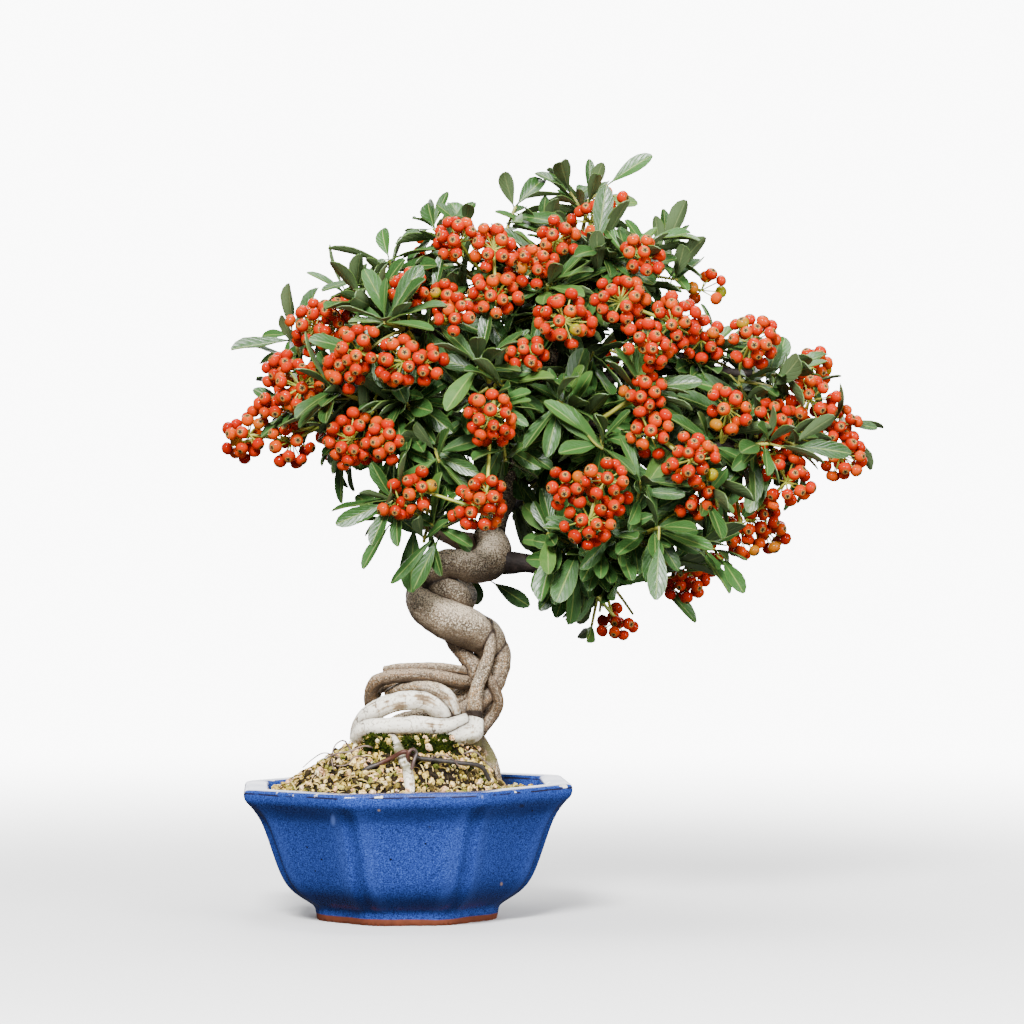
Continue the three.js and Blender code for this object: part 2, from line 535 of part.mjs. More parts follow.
function leafSolid(leaf) {
  const steps = LEAF_STATIONS.length - 1;
  return solid(new THREE.BoxGeometry(1, 1, 1, 1, 1, steps), (point) => {
    const [t, wide] = LEAF_STATIONS[Math.round((point.z + 0.5) * steps)];
    return leafPoint(leaf, t, point.y * LEAF_THICKNESS)
      .addScaledVector(leaf.across, point.x * leaf.width * wide);
  });
}

// A leaf's face looks out of the crown and up.
function aimLeaf(base, along, length, width, roll) {
  const outward = base.clone().sub(CROWN_CENTRE).normalize().addScaledVector(Z_AXIS, LEAF_LOOK_UP);
  const normal = outward.addScaledVector(along, -outward.dot(along)).normalize();
  normal.applyAxisAngle(along, roll);
  const across = new THREE.Vector3().crossVectors(normal, along);
  return { base, along, normal, across, length, width };
}

// A rosette sets its leaves round the end of its stem, a golden angle apart.
function rosette(hub, heading, count, owner) {
  const sideways = new THREE.Vector3(0.3, 0.2, 1).cross(heading).normalize();
  const leaves = [];
  for (let i = 0; i < count; i += 1) {
    for (let go = 0; go < TRIES; go += 1) {
      const turn = i * GOLDEN_ANGLE + between(-TURN_SHAKE, TURN_SHAKE) + go * RETRY_TURN;
      const tilt = THREE.MathUtils.degToRad(between(...(i === 0 ? TIP_LEAF_TILT : SIDE_LEAF_TILT)));
      const side = sideways.clone().applyAxisAngle(heading, turn);
      const along = heading.clone().multiplyScalar(Math.cos(tilt)).addScaledVector(side, Math.sin(tilt));
      const base = hub.clone().addScaledVector(heading, -1 - LEAF_SPACING * i);
      const length = between(...LEAF_LENGTH);
      const width = between(...LEAF_WIDTH);
      const leaf = aimLeaf(base, along, length, width, between(-LEAF_ROLL, LEAF_ROLL));
      if (free(leafBalls(leaf), owner)) {
        take(leafBalls(leaf), owner);
        leaves.push(leafSolid(leaf));
        break;
      }
    }
  }
  return leaves;
}

function limbEnd(name) {
  const points = name === 'TRUNK' ? TRUNK[TRUNK.length - 1] : LIMBS[name];
  const { curve } = route(points);
  return { end: curve.getPointAt(1), heading: curve.getTangentAt(1) };
}

function makeSpray(name, [limb, hubs]) {
  const { end, heading } = limbEnd(limb);
  const start = end.clone().addScaledVector(heading, GAP);
  const lead = start.clone().addScaledVector(heading, STEM_LEAD);
  const parts = [];
  for (const hub of hubs) {
    const top = vector(hub);
    const middle = lead.clone().lerp(top, 0.5);
    const first = hub === hubs[0];
    const foot = start.clone().addScaledVector(heading, first ? 0 : NEXT_STEM_START);
    const thick = TWIG_RADIUS * (first ? FIRST_STEM_SHARE : NEXT_STEM_SHARE);
    const stem = [foot, lead, middle, top].map(({ x, y, z }, i) => [x, y, z, thick * (1 - STEM_TAPER * i)]);
    parts.push(taper(stem, TWIG_SIDES, TWIG_STEPS));
    take(ballsAlong(stem), name);
  }
  for (const hub of hubs) {
    const top = vector(hub);
    const stemWay = top.clone().sub(lead).normalize();
    parts.push(...rosette(top, stemWay, hub[3], name));
  }
  return joined(parts);
}

// Berries: round fruits with a sunken eye, standing on all sides of a small core.
function berrySolid(hub, way, reach) {
  const shape = [
    [0, 0],
    [BERRY_RADIUS, reach + BERRY_WAIST],
    [EYE_RADIUS, reach + EYE_RIM],
    [0, reach + EYE_FLOOR],
  ];
  const geometry = new THREE.LatheGeometry(shape.map(([r, h]) => new THREE.Vector2(r, h)), BERRY_SIDES);
  const turn = new THREE.Quaternion().setFromUnitVectors(Y_AXIS, way);
  return solid(geometry.applyQuaternion(turn).translate(hub.x, hub.y, hub.z));
}

function nearestWood(hub) {
  let best;
  for (const points of Object.values(LIMBS)) {
    const { curve, radiusAt } = route(points);
    for (let i = FIRST_STALK_STEP; i <= LAST_STALK_STEP; i += 1) {
      const u = i / LIMB_STEPS;
      const point = curve.getPointAt(u);
      const away = point.distanceTo(hub);
      if (!best || away < best.away) {
        best = { point, away, radius: radiusAt(u), tangent: curve.getTangentAt(u) };
      }
    }
  }
  return best;
}

// A stalk leaves its limb square to it.
function stalkFromLimb(hub) {
  const wood = nearestWood(hub);
  const side = hub.clone().sub(wood.point);
  side.addScaledVector(wood.tangent, -side.dot(wood.tangent)).normalize();
  const foot = wood.point.clone().addScaledVector(side, wood.radius + GAP);
  const bend = foot.clone().addScaledVector(side, STALK_LEAD);
  return [foot, bend, bend.clone().lerp(hub, 0.5), hub];
}

function anyVector(size) {
  return new THREE.Vector3(between(-size, size), between(-size, size), between(-size, size));
}

function makeCluster([x, y, z, reach, count], name) {
  const hub = new THREE.Vector3(x, y, z);
  const lean = anyVector(CORE_LEAN);
  const core = new THREE.OctahedronGeometry(CORE_RADIUS, 0);
  core.rotateX(lean.x).rotateY(lean.y).rotateZ(lean.z);
  take([{ x, y, z, r: CORE_RADIUS * CORE_BALL_SHARE }], name);
  const ways = CORNER_SIGNS.map((signs) => vector(signs).normalize()
    .applyAxisAngle(X_AXIS, lean.x).applyAxisAngle(Y_AXIS, lean.y).applyAxisAngle(Z_AXIS, lean.z));
  const parts = [solid(core.translate(x, y, z))];
  for (const way of ways) {
    for (let go = 0; go < TRIES && parts.length <= count; go += 1) {
      const towards = way.clone().add(anyVector(WAY_SHAKE)).normalize();
      const length = reach - BERRY_RADIUS + between(...REACH_SHAKE);
      const centre = hub.clone().addScaledVector(towards, length);
      const balls = [{ x: centre.x, y: centre.y, z: centre.z, r: BERRY_RADIUS + BALL_MARGIN }];
      if (free(balls, name)) {
        take(balls, name);
        parts.push(berrySolid(hub, towards, length));
        break;
      }
    }
  }
  return parts;
}

function makeBunch(name, clusters) {
  const hubs = clusters.map(vector);
  const stalks = hubs.map((hub, i) => {
    if (i === 0) return stalkFromLimb(hub);
    return [hubs[i - 1], hubs[i - 1].clone().lerp(hub, 0.5), hub];
  });
  const parts = stalks.map((stalk) => {
    const points = stalk.map(({ x, y, z }) => [x, y, z, PEDUNCLE_RADIUS]);
    take(ballsAlong(points), name);
    return taper(points, TWIG_SIDES, TWIG_STEPS);
  });
  for (const cluster of clusters) parts.push(...makeCluster(cluster, name));
  return joined(parts);
}

function makeWire(grow) {
  return taper(WIRE_PATH.map((point) => [...point, WIRE_RADIUS]), WIRE_SIDES, WIRE_STEPS, grow);
}

// The cushion stands on the soil and clear of the roots and the wire.
function makeMoss(ground, wood, wire) {
  const cushion = taper(MOSS_PATH, MOSS_SIDES, MOSS_STEPS);
  return cushion.subtract(ground.translate([0, 0, GAP])).subtract(wood).subtract(wire);
}

const plant = new THREE.Group();
plant.name = 'firethorn_bonsai';

// Wood and wire, grown by the gap, cut their beds out of the soil and the moss.
const grownWood = joined(woodPieces(GAP));
const grownWire = makeWire(GAP);
const bareSoil = makeSoil();
plant.add(mesh('pot', makePot(), BLUE_GLAZE));
plant.add(mesh('soil_mound', bareSoil.subtract(grownWood).subtract(grownWire), SOIL));
plant.add(mesh('moss_cushion', makeMoss(bareSoil, grownWood, grownWire), MOSS));
plant.add(mesh('binding_wire', makeWire(0).subtract(grownWood), WIRE));
plant.add(mesh('trunk_and_roots', makeWood(), BARK));

// The wood's room is taken first, then the bunches', then the sprays'.
for (const points of [...TRUNK, ...ROOTS, ...Object.values(LIMBS)]) take(ballsAlong(points), 'wood');
Object.entries(BUNCHES).forEach(([name, clusters], i) => {
  seed = FIRST_SEED + SEED_STEP * i;
  plant.add(mesh(name, makeBunch(name, clusters), BERRY));
});
Object.entries(SPRAYS).forEach(([name, spray], i) => {
  seed = FIRST_SEED + SEED_STEP * (i + FIRST_SPRAY_SEED);
  plant.add(mesh(name, makeSpray(name, spray), LEAF));
});

export default plant;
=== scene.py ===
"""Firethorn bonsai in an octagonal blue glazed pot, dressed over its packed solids.

Everything is in metres with +Z up and the origin at the centre of the pot's foot. Lists of points
are in millimetres, as the tree was measured.
"""

import math
from contextlib import contextmanager
from functools import cache

import bmesh
import bpy
import numpy as np
from bpy.props import FloatProperty, FloatVectorProperty, IntProperty, PointerProperty
from mathutils import Matrix, Vector


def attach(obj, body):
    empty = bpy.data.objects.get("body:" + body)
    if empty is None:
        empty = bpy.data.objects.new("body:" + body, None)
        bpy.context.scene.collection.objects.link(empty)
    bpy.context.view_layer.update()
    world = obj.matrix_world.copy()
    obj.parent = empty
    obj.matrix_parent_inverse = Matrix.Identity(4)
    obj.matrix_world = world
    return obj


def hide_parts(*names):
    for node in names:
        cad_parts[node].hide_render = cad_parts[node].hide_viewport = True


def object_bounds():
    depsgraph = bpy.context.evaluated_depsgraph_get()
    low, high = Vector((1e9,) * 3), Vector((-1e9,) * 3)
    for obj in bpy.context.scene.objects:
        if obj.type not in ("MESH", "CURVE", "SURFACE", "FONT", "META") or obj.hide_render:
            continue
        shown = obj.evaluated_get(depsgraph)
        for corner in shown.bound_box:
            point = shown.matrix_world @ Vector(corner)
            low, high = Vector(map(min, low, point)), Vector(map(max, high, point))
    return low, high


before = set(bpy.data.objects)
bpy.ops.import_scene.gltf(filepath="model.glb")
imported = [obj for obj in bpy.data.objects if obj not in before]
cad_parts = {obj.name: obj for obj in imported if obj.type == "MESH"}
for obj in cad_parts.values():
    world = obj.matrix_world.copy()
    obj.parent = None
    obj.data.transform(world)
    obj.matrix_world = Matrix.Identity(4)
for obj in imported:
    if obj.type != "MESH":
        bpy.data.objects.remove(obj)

CAD_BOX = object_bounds()

bl_info = {
    "name": "Firethorn bonsai",
    "version": (1, 0, 0),
    "blender": (4, 5, 0),
    "location": "3D View > Sidebar > Bonsai",
    "description": "Builds a firethorn bonsai in its glazed pot, piece by piece",
    "category": "Add Mesh",
}

MM = 0.001

# The pot, in millimetres. Its rows are a height, a half width across the flats and the depth of the flutes.
POT_TURN = math.radians(4)
RIM_HEIGHT = 69
RIM_RISE = 0.014
FACE_TURN = math.pi / 4
FLUTE_DEPTH = 2.2
# Across a flute, from one face to the next: how far each point is from the corner, and how far in.
FLUTE_ACROSS = (-12, -6, -2.4, 0.0, 2.4, 6, 12)
FLUTE_IN = (0, -0.55, 0.5, 1.3, 0.5, -0.55, 0)
RING = 8 * len(FLUTE_ACROSS)
DRAIN_RADIUS = 5
DRAIN_OFFSET = 22
POT_OUTSIDE = [
    (0, 45.5, 0.4),
    (5.5, 46.5, 0.4),
    (7.5, 46.8, 0.6),
    (13, 56, 0.9),
    (18.5, 61.2, 1),
    (27, 65.4, 1),
    (46, 71.2, 1),
    (54, 74.8, 0.9),
    (60, 79.6, 0.5),
    (62, 82, 0.12),
    (64.5, 83, 0.1),
    (67.8, 82.9, 0.1),
    (69, 81.4, 0.1),
]
POT_INSIDE = [
    (69, 71.5, 0),
    (66.5, 70.3, 0),
    (58, 69, 0),
    (46, 64.6, 0),
    (24, 57, 0),
    (12, 47, 0),
    (6, 38, 0),
]
POT_ROWS = [*POT_OUTSIDE, *POT_INSIDE]
FOOT_CREASE = 0.8
CREASED_BELOW = 0.5 * MM
DRAIN_DEPTH = 24

# The wood, as centre points with a radius.
TRUNK = [
    [(42, 4, 124, 7.2), (43.4, 2, 135, 8.4), (40.9, -2, 142, 9.8), (32.7, -8, 147.5, 10.3),
     (21.6, -12, 152.2, 10.2), (12.8, -8, 157.7, 9.8), (8.8, 1, 163.6, 9.4), (12, 8, 168.5, 9.2)],
    [(9.9, 4, 166.2, 8.6), (14.9, 10, 168.4, 9.2), (22.1, 12, 167.4, 9.1), (26.9, 6, 164.2, 9.1),
     (25.3, -2, 163, 9), (20.6, -6, 166.6, 8.9), (16.3, -5, 172.5, 8.5)],
    [(15.6, -4, 170.5, 8.3), (16.2, -7, 176.8, 8.1), (20, -9, 180.6, 7.8), (27, -10, 180.7, 7.8),
     (35, -9, 179.4, 8.7), (42.2, -5, 182, 9.5), (44.8, 1, 188.6, 9), (41.6, 6, 196, 8.1)],
    [(41.4, 6, 192, 8.2), (45.9, 8, 207.4, 7.2), (54.2, 6, 223.9, 6.6), (62.4, 4, 244.5, 6),
     (68.6, 4, 265.1, 5.4), (74.3, 4, 290.8, 4.6), (82, 2, 318, 3.6), (87, 3, 336, 2.2)],
]
ROOTS = [
    [(-10.2, -8, 125.5, 3.6), (-6, -10, 126.6, 3.2), (3.2, -12, 127.7, 3.1), (11.9, -12, 127.7, 3.1),
     (26.1, -8, 126.5, 3.2), (36, 0, 124, 3.4)],
    [(-15, -2, 101, 4.4), (-17.5, -5, 109, 4.6), (-17.6, -9, 116, 4.6), (-14.4, -12, 120.8, 4.6),
     (-7.9, -15, 123.2, 4.6), (3.4, -17, 124, 4.7), (13.5, -16, 123.4, 4.8), (23.6, -12, 121.6, 4.8),
     (34, -4, 119.3, 4.6)],
    [(-9, -6, 114, 3), (-1.8, -13, 117.6, 3.9), (4.9, -17, 118.4, 4.6), (12.5, -18, 117.6, 5),
     (19.1, -18, 114.2, 5.2), (23.2, -17, 108.6, 5), (24.1, -14, 102.3, 5), (23.6, -10, 95, 5)],
    [(-24.4, -12, 91, 4.6), (-22.4, -15, 99, 5), (-19, -18, 103.6, 5.2), (-14.3, -20, 106.8, 5.3),
     (-6.1, -22, 110.3, 5.3), (3, -23, 111.7, 5.4), (11.1, -22, 110.8, 5.4), (16.7, -21, 106.7, 5.4),
     (19.7, -19, 102.1, 5.2), (21.1, -15, 94, 5)],
    [(-25, -16, 91.5, 3.8), (-20.4, -22, 97.4, 4.3), (-6.5, -25, 98.8, 4.6), (7.2, -26, 99.6, 4.6),
     (16.7, -24, 98.6, 4.6), (25.8, -20, 99.6, 4.6), (32, -14, 101, 4.6)],
    [(18, -17, 92, 6), (25.2, -18, 94.6, 7), (33, -16, 95.6, 6.4), (34.6, -14, 101.8, 5.4)],
    [(41.2, -7, 152, 3.9), (43, -11, 141.6, 4.1), (42.2, -12.4, 134.3, 4.1), (39.6, -13, 126.2, 4.2),
     (37, -14, 119.1, 4.3), (35.4, -14, 112, 5), (34.8, -12, 104, 5.5), (34.8, -8, 88, 5.4)],
    [(41, -10, 124.6, 3.4), (44.8, -9, 117.4, 3.8), (47.2, -7, 110.2, 4), (45, -6, 103.5, 4),
     (39.9, -6, 97.3, 4), (34.8, -6, 89, 4)],
    [(42.4, 0, 141.6, 6.4), (46.6, 0, 136.5, 6.8), (47.2, -1, 128.8, 6.8), (45.6, -3, 121.2, 6),
     (42.4, -5, 115.2, 5.2), (36.8, -7, 109.8, 5.2), (29, -7, 104, 5.5), (24, -4, 92, 6)],
    [(19, -6, 148, 3.2), (25.5, -4, 140, 4.4), (31.6, -3.4, 131.8, 4.6), (34.2, -4.6, 127, 4.4),
     (34, -4, 120, 4)],
    [(43, 4, 126, 7), (41.8, 6, 115.7, 6.6), (36.7, 7, 106.4, 7.2), (31, 7, 97.1, 8), (28, 5, 84, 8)],
    [(40.8, 4, 119, 5.6), (32.6, 2, 114.6, 6.5), (26, 0, 109.6, 6.4), (19, 0, 103, 6.2), (14, 0, 88, 6)],
    [(-8.5, -21, 95, 3.6), (-6, -29, 91.5, 4), (-2.6, -38.5, 87.6, 4), (0.6, -47, 82.4, 4),
     (3.2, -57, 73.6, 3.6), (4, -63, 64, 3)],
    [(32, -4, 94, 6), (37, -2, 88.6, 6), (42, 0, 80.5, 5.4), (45.5, 2, 70, 4.6), (47, 3, 60, 4)],
    [(-17, -4, 113, 4), (-16, 8, 117, 4.2), (-6, 18, 119.4, 4.4), (10, 23, 119.6, 4.6),
     (26, 20, 118, 4.8), (38, 9, 116, 4.8)],
    [(34, 10, 112, 5), (24, 20, 106, 5), (10, 26, 101, 5), (-6, 26, 97, 4.8), (-17, 20, 88, 4.4)],
    [(34, 12, 104, 5), (36, 22, 98, 5), (32, 32, 91, 4.8), (26, 42, 80, 4.4), (23, 50, 68, 3.8)],
    [(-18, -7, 104, 4.2), (-22, 2, 99, 4.4), (-24, 10, 92, 4.2), (-26, 16, 82, 4)],
]
# How far each root is bleached at its start and its end: dark at -0.5, brown at 0, cream at 1.
ROOT_BLEACH = [
    (-0.4, -0.4), (-0.5, -0.6), (-0.3, 1.0), (0.95, 0.45), (1.3, 1.3), (1.25, 1.2), (-0.3, 0.2), (-0.6, -0.6),
    (-0.2, -0.5), (-0.3, -0.4), (-0.4, 0), (-0.2, 0.2), (0.35, 0.8), (0.3, 0.35), (-0.3, 0), (0.1, 0.2),
    (0.4, 0.6), (0.3, 0.4),
]
# How thick each root is, as a share of its packed solid.
ROOT_GIRTH = (0.95, 0.8, 0.86, 0.93, 0.95, 1, 0.8, 0.7, 0.95, 1, 1, 0.9, 0.74, 0.8, 1, 1, 1, 1)
LIMBS = {
    "cut_stub": [(43, -2, 182, 7), (61, -5, 181, 4.9), (81, -12, 180, 4.5), (106, -15, 179, 4.2)],
    "cut_spur": [(86, -13, 179, 2.2), (90, -14, 171, 2), (94, -14, 165, 1.9)],
    "low_left": [(38, 6, 189, 6), (28, 5, 193, 5), (18, -4, 196.5, 4), (8, -20, 204, 2.4)],
    "low_front": [(97, -14, 181, 3), (106, -28, 189, 2.6), (118, -46, 195, 2)],
    "low_front_inner": [(86, -12, 181, 2.6), (91, -20, 185, 2.2), (95, -28, 187, 1.8)],
    "low_back": [(98, -14, 178, 2.6), (100, -6, 175, 2.2), (102, 0, 173, 1.8)],
    "right_middle": [(54, 6, 224, 5), (85, -8, 232, 4), (125, -22, 238, 3.2), (166, -38, 240, 2)],
    "right_tip": [(136, -26, 239, 2.6), (172, -20, 245, 2.2), (204, -12, 250, 1.7)],
    "right_upper": [(66, 4, 256, 4.6), (100, -6, 275, 3.8), (140, -14, 280, 3), (176, -22, 277, 2)],
    "right_upper_inner": [(126, -11, 279, 2.4), (138, -14, 285, 2.1), (148, -17, 287, 1.7)],
    "left_middle": [(57, 6, 231, 4.6), (35, -4, 244, 3.8), (8, -16, 256, 2.8), (-20, -33, 263, 2)],
    "left_inner": [(18, -11, 252, 2.6), (12, -18, 252, 2.2), (8, -24, 252, 1.8)],
    "left_tip": [(-4, -23, 259, 2.2), (-26, -20, 256, 1.9), (-46, -18, 255, 1.6)],
    "left_upper": [(69, 4, 265, 4.4), (45, -6, 284, 3.6), (18, -14, 297, 2.8), (-14, -12, 309, 1.9)],
    "left_front": [(22, -12, 295, 2.4), (8, -32, 298, 2.1), (0, -42, 299, 1.7)],
    "front_middle": [(62, 4, 244, 4.4), (54, -18, 258, 3.2), (43, -44, 272, 2)],
    "front_right": [(58, 5, 234, 4.4), (76, -14, 243, 3.4), (96, -36, 252, 2.1)],
    "upper_left": [(76, 4, 297, 3.6), (58, -4, 312, 2.8), (38, -10, 325, 1.9)],
    "upper_front": [(72, 2, 303, 2.6), (72, -18, 309, 2.2), (72, -28, 313, 1.8)],
    "upper_right": [(79, 3, 308, 3.2), (100, 0, 320, 2.6), (118, 3, 331, 1.8)],
    "upper_right_front": [(97, 0, 318, 2.2), (104, -12, 323, 2), (109, -22, 326, 1.7)],
    "back_left": [(60, 4, 240, 4.4), (40, 34, 252, 3.6), (14, 62, 262, 2.8), (-14, 84, 270, 1.9)],
    "back_left_side": [(24, 52, 258, 2.6), (-8, 57, 261, 2.2), (-36, 58, 261, 1.7)],
    "back_middle": [(72, 4, 280, 4), (78, 34, 292, 3.2), (81, 66, 302, 2.6), (82, 97, 308, 1.8)],
    "back_top": [(79, 46, 296, 2.4), (85, 62, 314, 2.1), (89, 71, 327, 1.7)],
    "back_inner": [(81, 62, 301, 2.4), (52, 80, 297, 2.1), (30, 95, 292, 1.7)],
    "back_right": [(55, 6, 226, 4.4), (84, 32, 240, 3.6), (116, 58, 252, 2.8), (140, 84, 262, 1.9)],
    "back_right_side": [(104, 48, 248, 2.6), (136, 53, 252, 2.2), (162, 57, 254, 1.7)],
    "back_low": [(48, 8, 212, 4.4), (54, 34, 212, 3.4), (60, 64, 216, 2.6), (62, 92, 220, 1.8)],
}

# Leafy sprays, each on the limb of its name, as rosettes (x, y, z, leaves). The first one ends the trunk.
SPRAYS = {
    "crown_tip": [(94, 8, 369, 4), (70, 0, 350, 4)],
    "upper_left": [(24, -15, 336, 4)],
    "upper_front": [(72, -42, 321, 4)],
    "upper_right": [(133, 5, 341, 4)],
    "upper_right_front": [(113, -36, 332, 4)],
    "left_upper": [(-30, -10, 318, 5)],
    "left_front": [(-9, -56, 301, 4)],
    "left_middle": [(-36, -41, 269, 4)],
    "left_inner": [(-1, -36, 266, 4), (-6, -32, 238, 3)],
    "left_tip": [(-62, -12, 260, 3)],
    "front_middle": [(37, -60, 281, 5)],
    "front_right": [(121, -56, 268, 4), (99, -62, 238, 4)],
    "right_middle": [(183, -46, 241, 4)],
    "right_tip": [(222, -9, 253, 4)],
    "right_upper": [(194, -26, 276, 4)],
    "right_upper_inner": [(162, -20, 291, 4)],
    "low_front": [(127, -63, 199, 5)],
    "low_front_inner": [(99, -46, 189, 4)],
    "low_back": [(104, 14, 170, 4)],
    "low_left": [(-5, -50, 213, 4), (15, -41, 200, 4)],
    "back_left": [(-28, 95, 276, 5)],
    "back_left_side": [(-54, 59, 263, 4)],
    "back_middle": [(82, 114, 313, 5)],
    "back_top": [(91, 80, 342, 4)],
    "back_inner": [(15, 106, 292, 4)],
    "back_right": [(150, 99, 269, 5)],
    "back_right_side": [(179, 60, 257, 4)],
    "back_low": [(62, 110, 224, 4)],
}

# Berry bunches as lists of clusters, (x, y, z, reach of the berries, berries).
BUNCHES = {
    "left_tip": [(-58, -14, 243, 13, 4), (-80, -9, 247, 12, 4)],
    "left": [(-52, -30, 270, 14, 5)],
    "left_upper": [(-46, -24, 300, 13, 4)],
    "left_front": [(0, -62, 281, 13, 4), (-22, -58, 286, 13, 4)],
    "left_low": [(-26, -50, 243, 14, 5)],
    "upper_left": [(45, -46, 338, 13, 5), (46, -48, 314, 13, 4), (21, -42, 312, 11, 3)],
    "upper_back_left": [(10, 14, 340, 10, 4)],
    "front_middle": [(44, -76, 254, 13, 5)],
    "upper": [(76, -34, 343, 12, 4)],
    "top": [(94, -4, 356, 11, 3), (106, 0, 370, 9, 3)],
    "front_upper": [(80, -66, 301, 14, 5)],
    "upper_right": [(108, -56, 311, 14, 4), (134, -52, 301, 14, 4)],
    "upper_right_back": [(152, 10, 322, 12, 4)],
    "right_inner": [(122, -66, 246, 12, 4), (142, -70, 232, 13, 4)],
    "front_low": [(100, -84, 222, 12, 4), (92, -78, 203, 13, 4)],
    "right_upper": [(174, -42, 292, 14, 4)],
    "right": [(205, -24, 264, 14, 5)],
    "right_front": [(162, -52, 258, 12, 4)],
    "right_tip": [(222, -14, 236, 13, 4)],
    "right_low": [(192, -36, 222, 14, 4), (176, -12, 204, 14, 4)],
    "low_back": [(150, 12, 184, 12, 4)],
    "lowest": [(106, 4, 153, 9, 4)],
    "low_left": [(8, -56, 218, 11, 4), (38, -60, 208, 13, 4)],
    "back_left": [(-38, 82, 250, 14, 4), (-4, 104, 262, 14, 4)],
    "back_middle": [(48, 116, 290, 14, 4), (56, 96, 328, 13, 4)],
    "back_right": [(118, 100, 292, 14, 4), (158, 84, 242, 14, 4)],
    "back_low": [(92, 104, 214, 14, 4)],
}
# Clusters between the packed ones, as (x, y, z, reach of the berries).
MORE_CLUSTERS = {
    "left_tip": [(-84, -6, 243, 11), (-61, -16, 279, 11), (-66, -18, 262, 10)],
    "left": [(-27, -52, 279, 12)],
    "left_upper": [(-36, -34, 304, 12)],
    "left_front": [(11, -63, 280, 10), (3, -46, 316, 11), (27, -61, 303, 10)],
    "left_low": [(-9, -54, 242, 11), (-2, -56, 212, 10)],
    "upper_left": [(62, -30, 330, 11), (28, -42, 342, 13)],
    "upper": [(66, -44, 330, 11)],
    "front_middle": [(44, -70, 250, 11), (42, -72, 216, 11)],
    "front_upper": [(62, -62, 284, 10)],
    "upper_right": [(118, -47, 333, 12), (121, -66, 289, 12)],
    "right_inner": [(120, -58, 264, 12), (146, -56, 212, 10)],
    "front_low": [(102, -82, 213, 10), (80, -78, 219, 10)],
    "right_upper": [(149, -42, 293, 11)],
    "right": [(208, 2, 282, 10), (184, -36, 251, 12)],
    "right_tip": [(219, -12, 250, 12)],
    "right_low": [(184, -30, 236, 12), (184, -8, 198, 12)],
    "low_back": [(162, 30, 208, 14), (172, -14, 193, 10), (143, 0, 174, 12)],
    "lowest": [(108, -6, 152, 10)],
    "low_left": [(35, -58, 206, 11)],
    "back_left": [(-58, 60, 262, 12), (-20, 92, 292, 12)],
    "back_middle": [(20, 96, 306, 12), (82, 104, 322, 12)],
    "back_right": [(146, 86, 268, 12), (176, 62, 240, 12), (112, 96, 262, 12)],
    "back_low": [(60, 106, 232, 12), (120, 92, 222, 11)],
}
# Bunches that stay open, with their share of the added berries.
OPEN_BUNCHES = {
    "upper_right_back": 0.15,
    "upper_back_left": 0.3,
    "top": 0.7,
    "lowest": 0.6,
    "front_middle": 0.8,
}
# Rosettes between the packed ones, as (x, y, z, leaves).
MORE_ROSETTES = {
    "crown_tip": [(56, -4, 364, 8), (84, 2, 372, 6)],
    "upper_left": [(14, -12, 352, 8), (30, -10, 352, 7)],
    "left_upper": [(-8, -22, 335, 8), (-22, -16, 326, 7), (-58, -8, 298, 5)],
    "left_tip": [(-60, -6, 288, 5)],
    "left_inner": [(-5, -20, 240, 8), (18, -48, 232, 8)],
    "front_middle": [(51, -55, 232, 8), (30, -44, 262, 7)],
    "front_right": [(118, -66, 222, 8), (77, -58, 262, 7)],
    "right_middle": [(150, -52, 214, 8), (186, -30, 270, 7)],
    "right_upper": [(172, -30, 262, 7)],
    "low_front": [(140, -30, 176, 8), (156, -38, 188, 7)],
    "low_front_inner": [(77, -20, 192, 6), (72, -40, 196, 6)],
    "low_back": [(120, 6, 179, 4), (86, 2, 181, 3)],
    "low_left": [(10, -40, 192, 2), (-6, -38, 202, 3)],
    "back_left_side": [(-60, 40, 276, 7)],
    "back_middle": [(110, 104, 290, 7), (60, 100, 280, 7)],
    "back_right_side": [(134, 60, 214, 8), (190, 34, 262, 7)],
    "back_low": [(20, 66, 236, 8), (96, 84, 200, 7)],
    "back_top": [(128, 50, 322, 7), (20, 58, 332, 7)],
}
# Tips of single leaves that stand out of the crown.
LEAF_TIPS = [
    (125, 0, 392), (95, 8, 390), (67, 16, 386), (120, 14, 369), (71, -6, 369), (101, -20, 359),
    (80, -46, 323), (20, -8, 372), (17, -20, 364), (-1, -22, 348), (-14, -4, 354), (-12, -40, 334),
    (-10, -62, 322), (9, -60, 329), (-60, -6, 316), (-75, 0, 299), (-27, -60, 288), (33, -60, 247),
    (72, -74, 262), (15, -70, 299), (73, -66, 277), (241, -10, 251), (223, -52, 237), (161, -60, 227),
    (164, -58, 265), (134, 6, 364), (144, 2, 356), (147, -66, 272), (125, -80, 165), (159, -74, 196),
    (168, -66, 169), (149, -70, 206), (72, -60, 178), (98, -66, 176), (120, -56, 178), (151, 6, 153),
    (85, 0, 153), (77, -22, 156), (69, -10, 158), (-33, -56, 201), (-22, -44, 180), (-16, -64, 192),
    (-25, -26, 217), (-14, -34, 217),
]
# Leaves that hang round the trunk, each as its base, its tip and its width.
HANGING_LEAVES = [
    ((17, -41, 196.5), (-6, -43, 171), 5.5), ((18.3, -40, 195), (4.2, -44, 169), 8.5),
    ((5, -30, 202), (2.4, -34, 167), 12), ((24, -40, 196), (34, -40, 188), 7),
    ((17, -39, 199), (7, -36, 205), 8), ((22, -38, 200), (31, -32, 209), 8),
    ((43, 8, 172), (63, 6, 159), 8.5), ((33, 13, 176), (37, 11, 160), 9),
]
HANGING_TWIG = [(8, -20, 204, 1.4), (15, -31, 202, 1.2), (22.5, -40, 198, 1)]
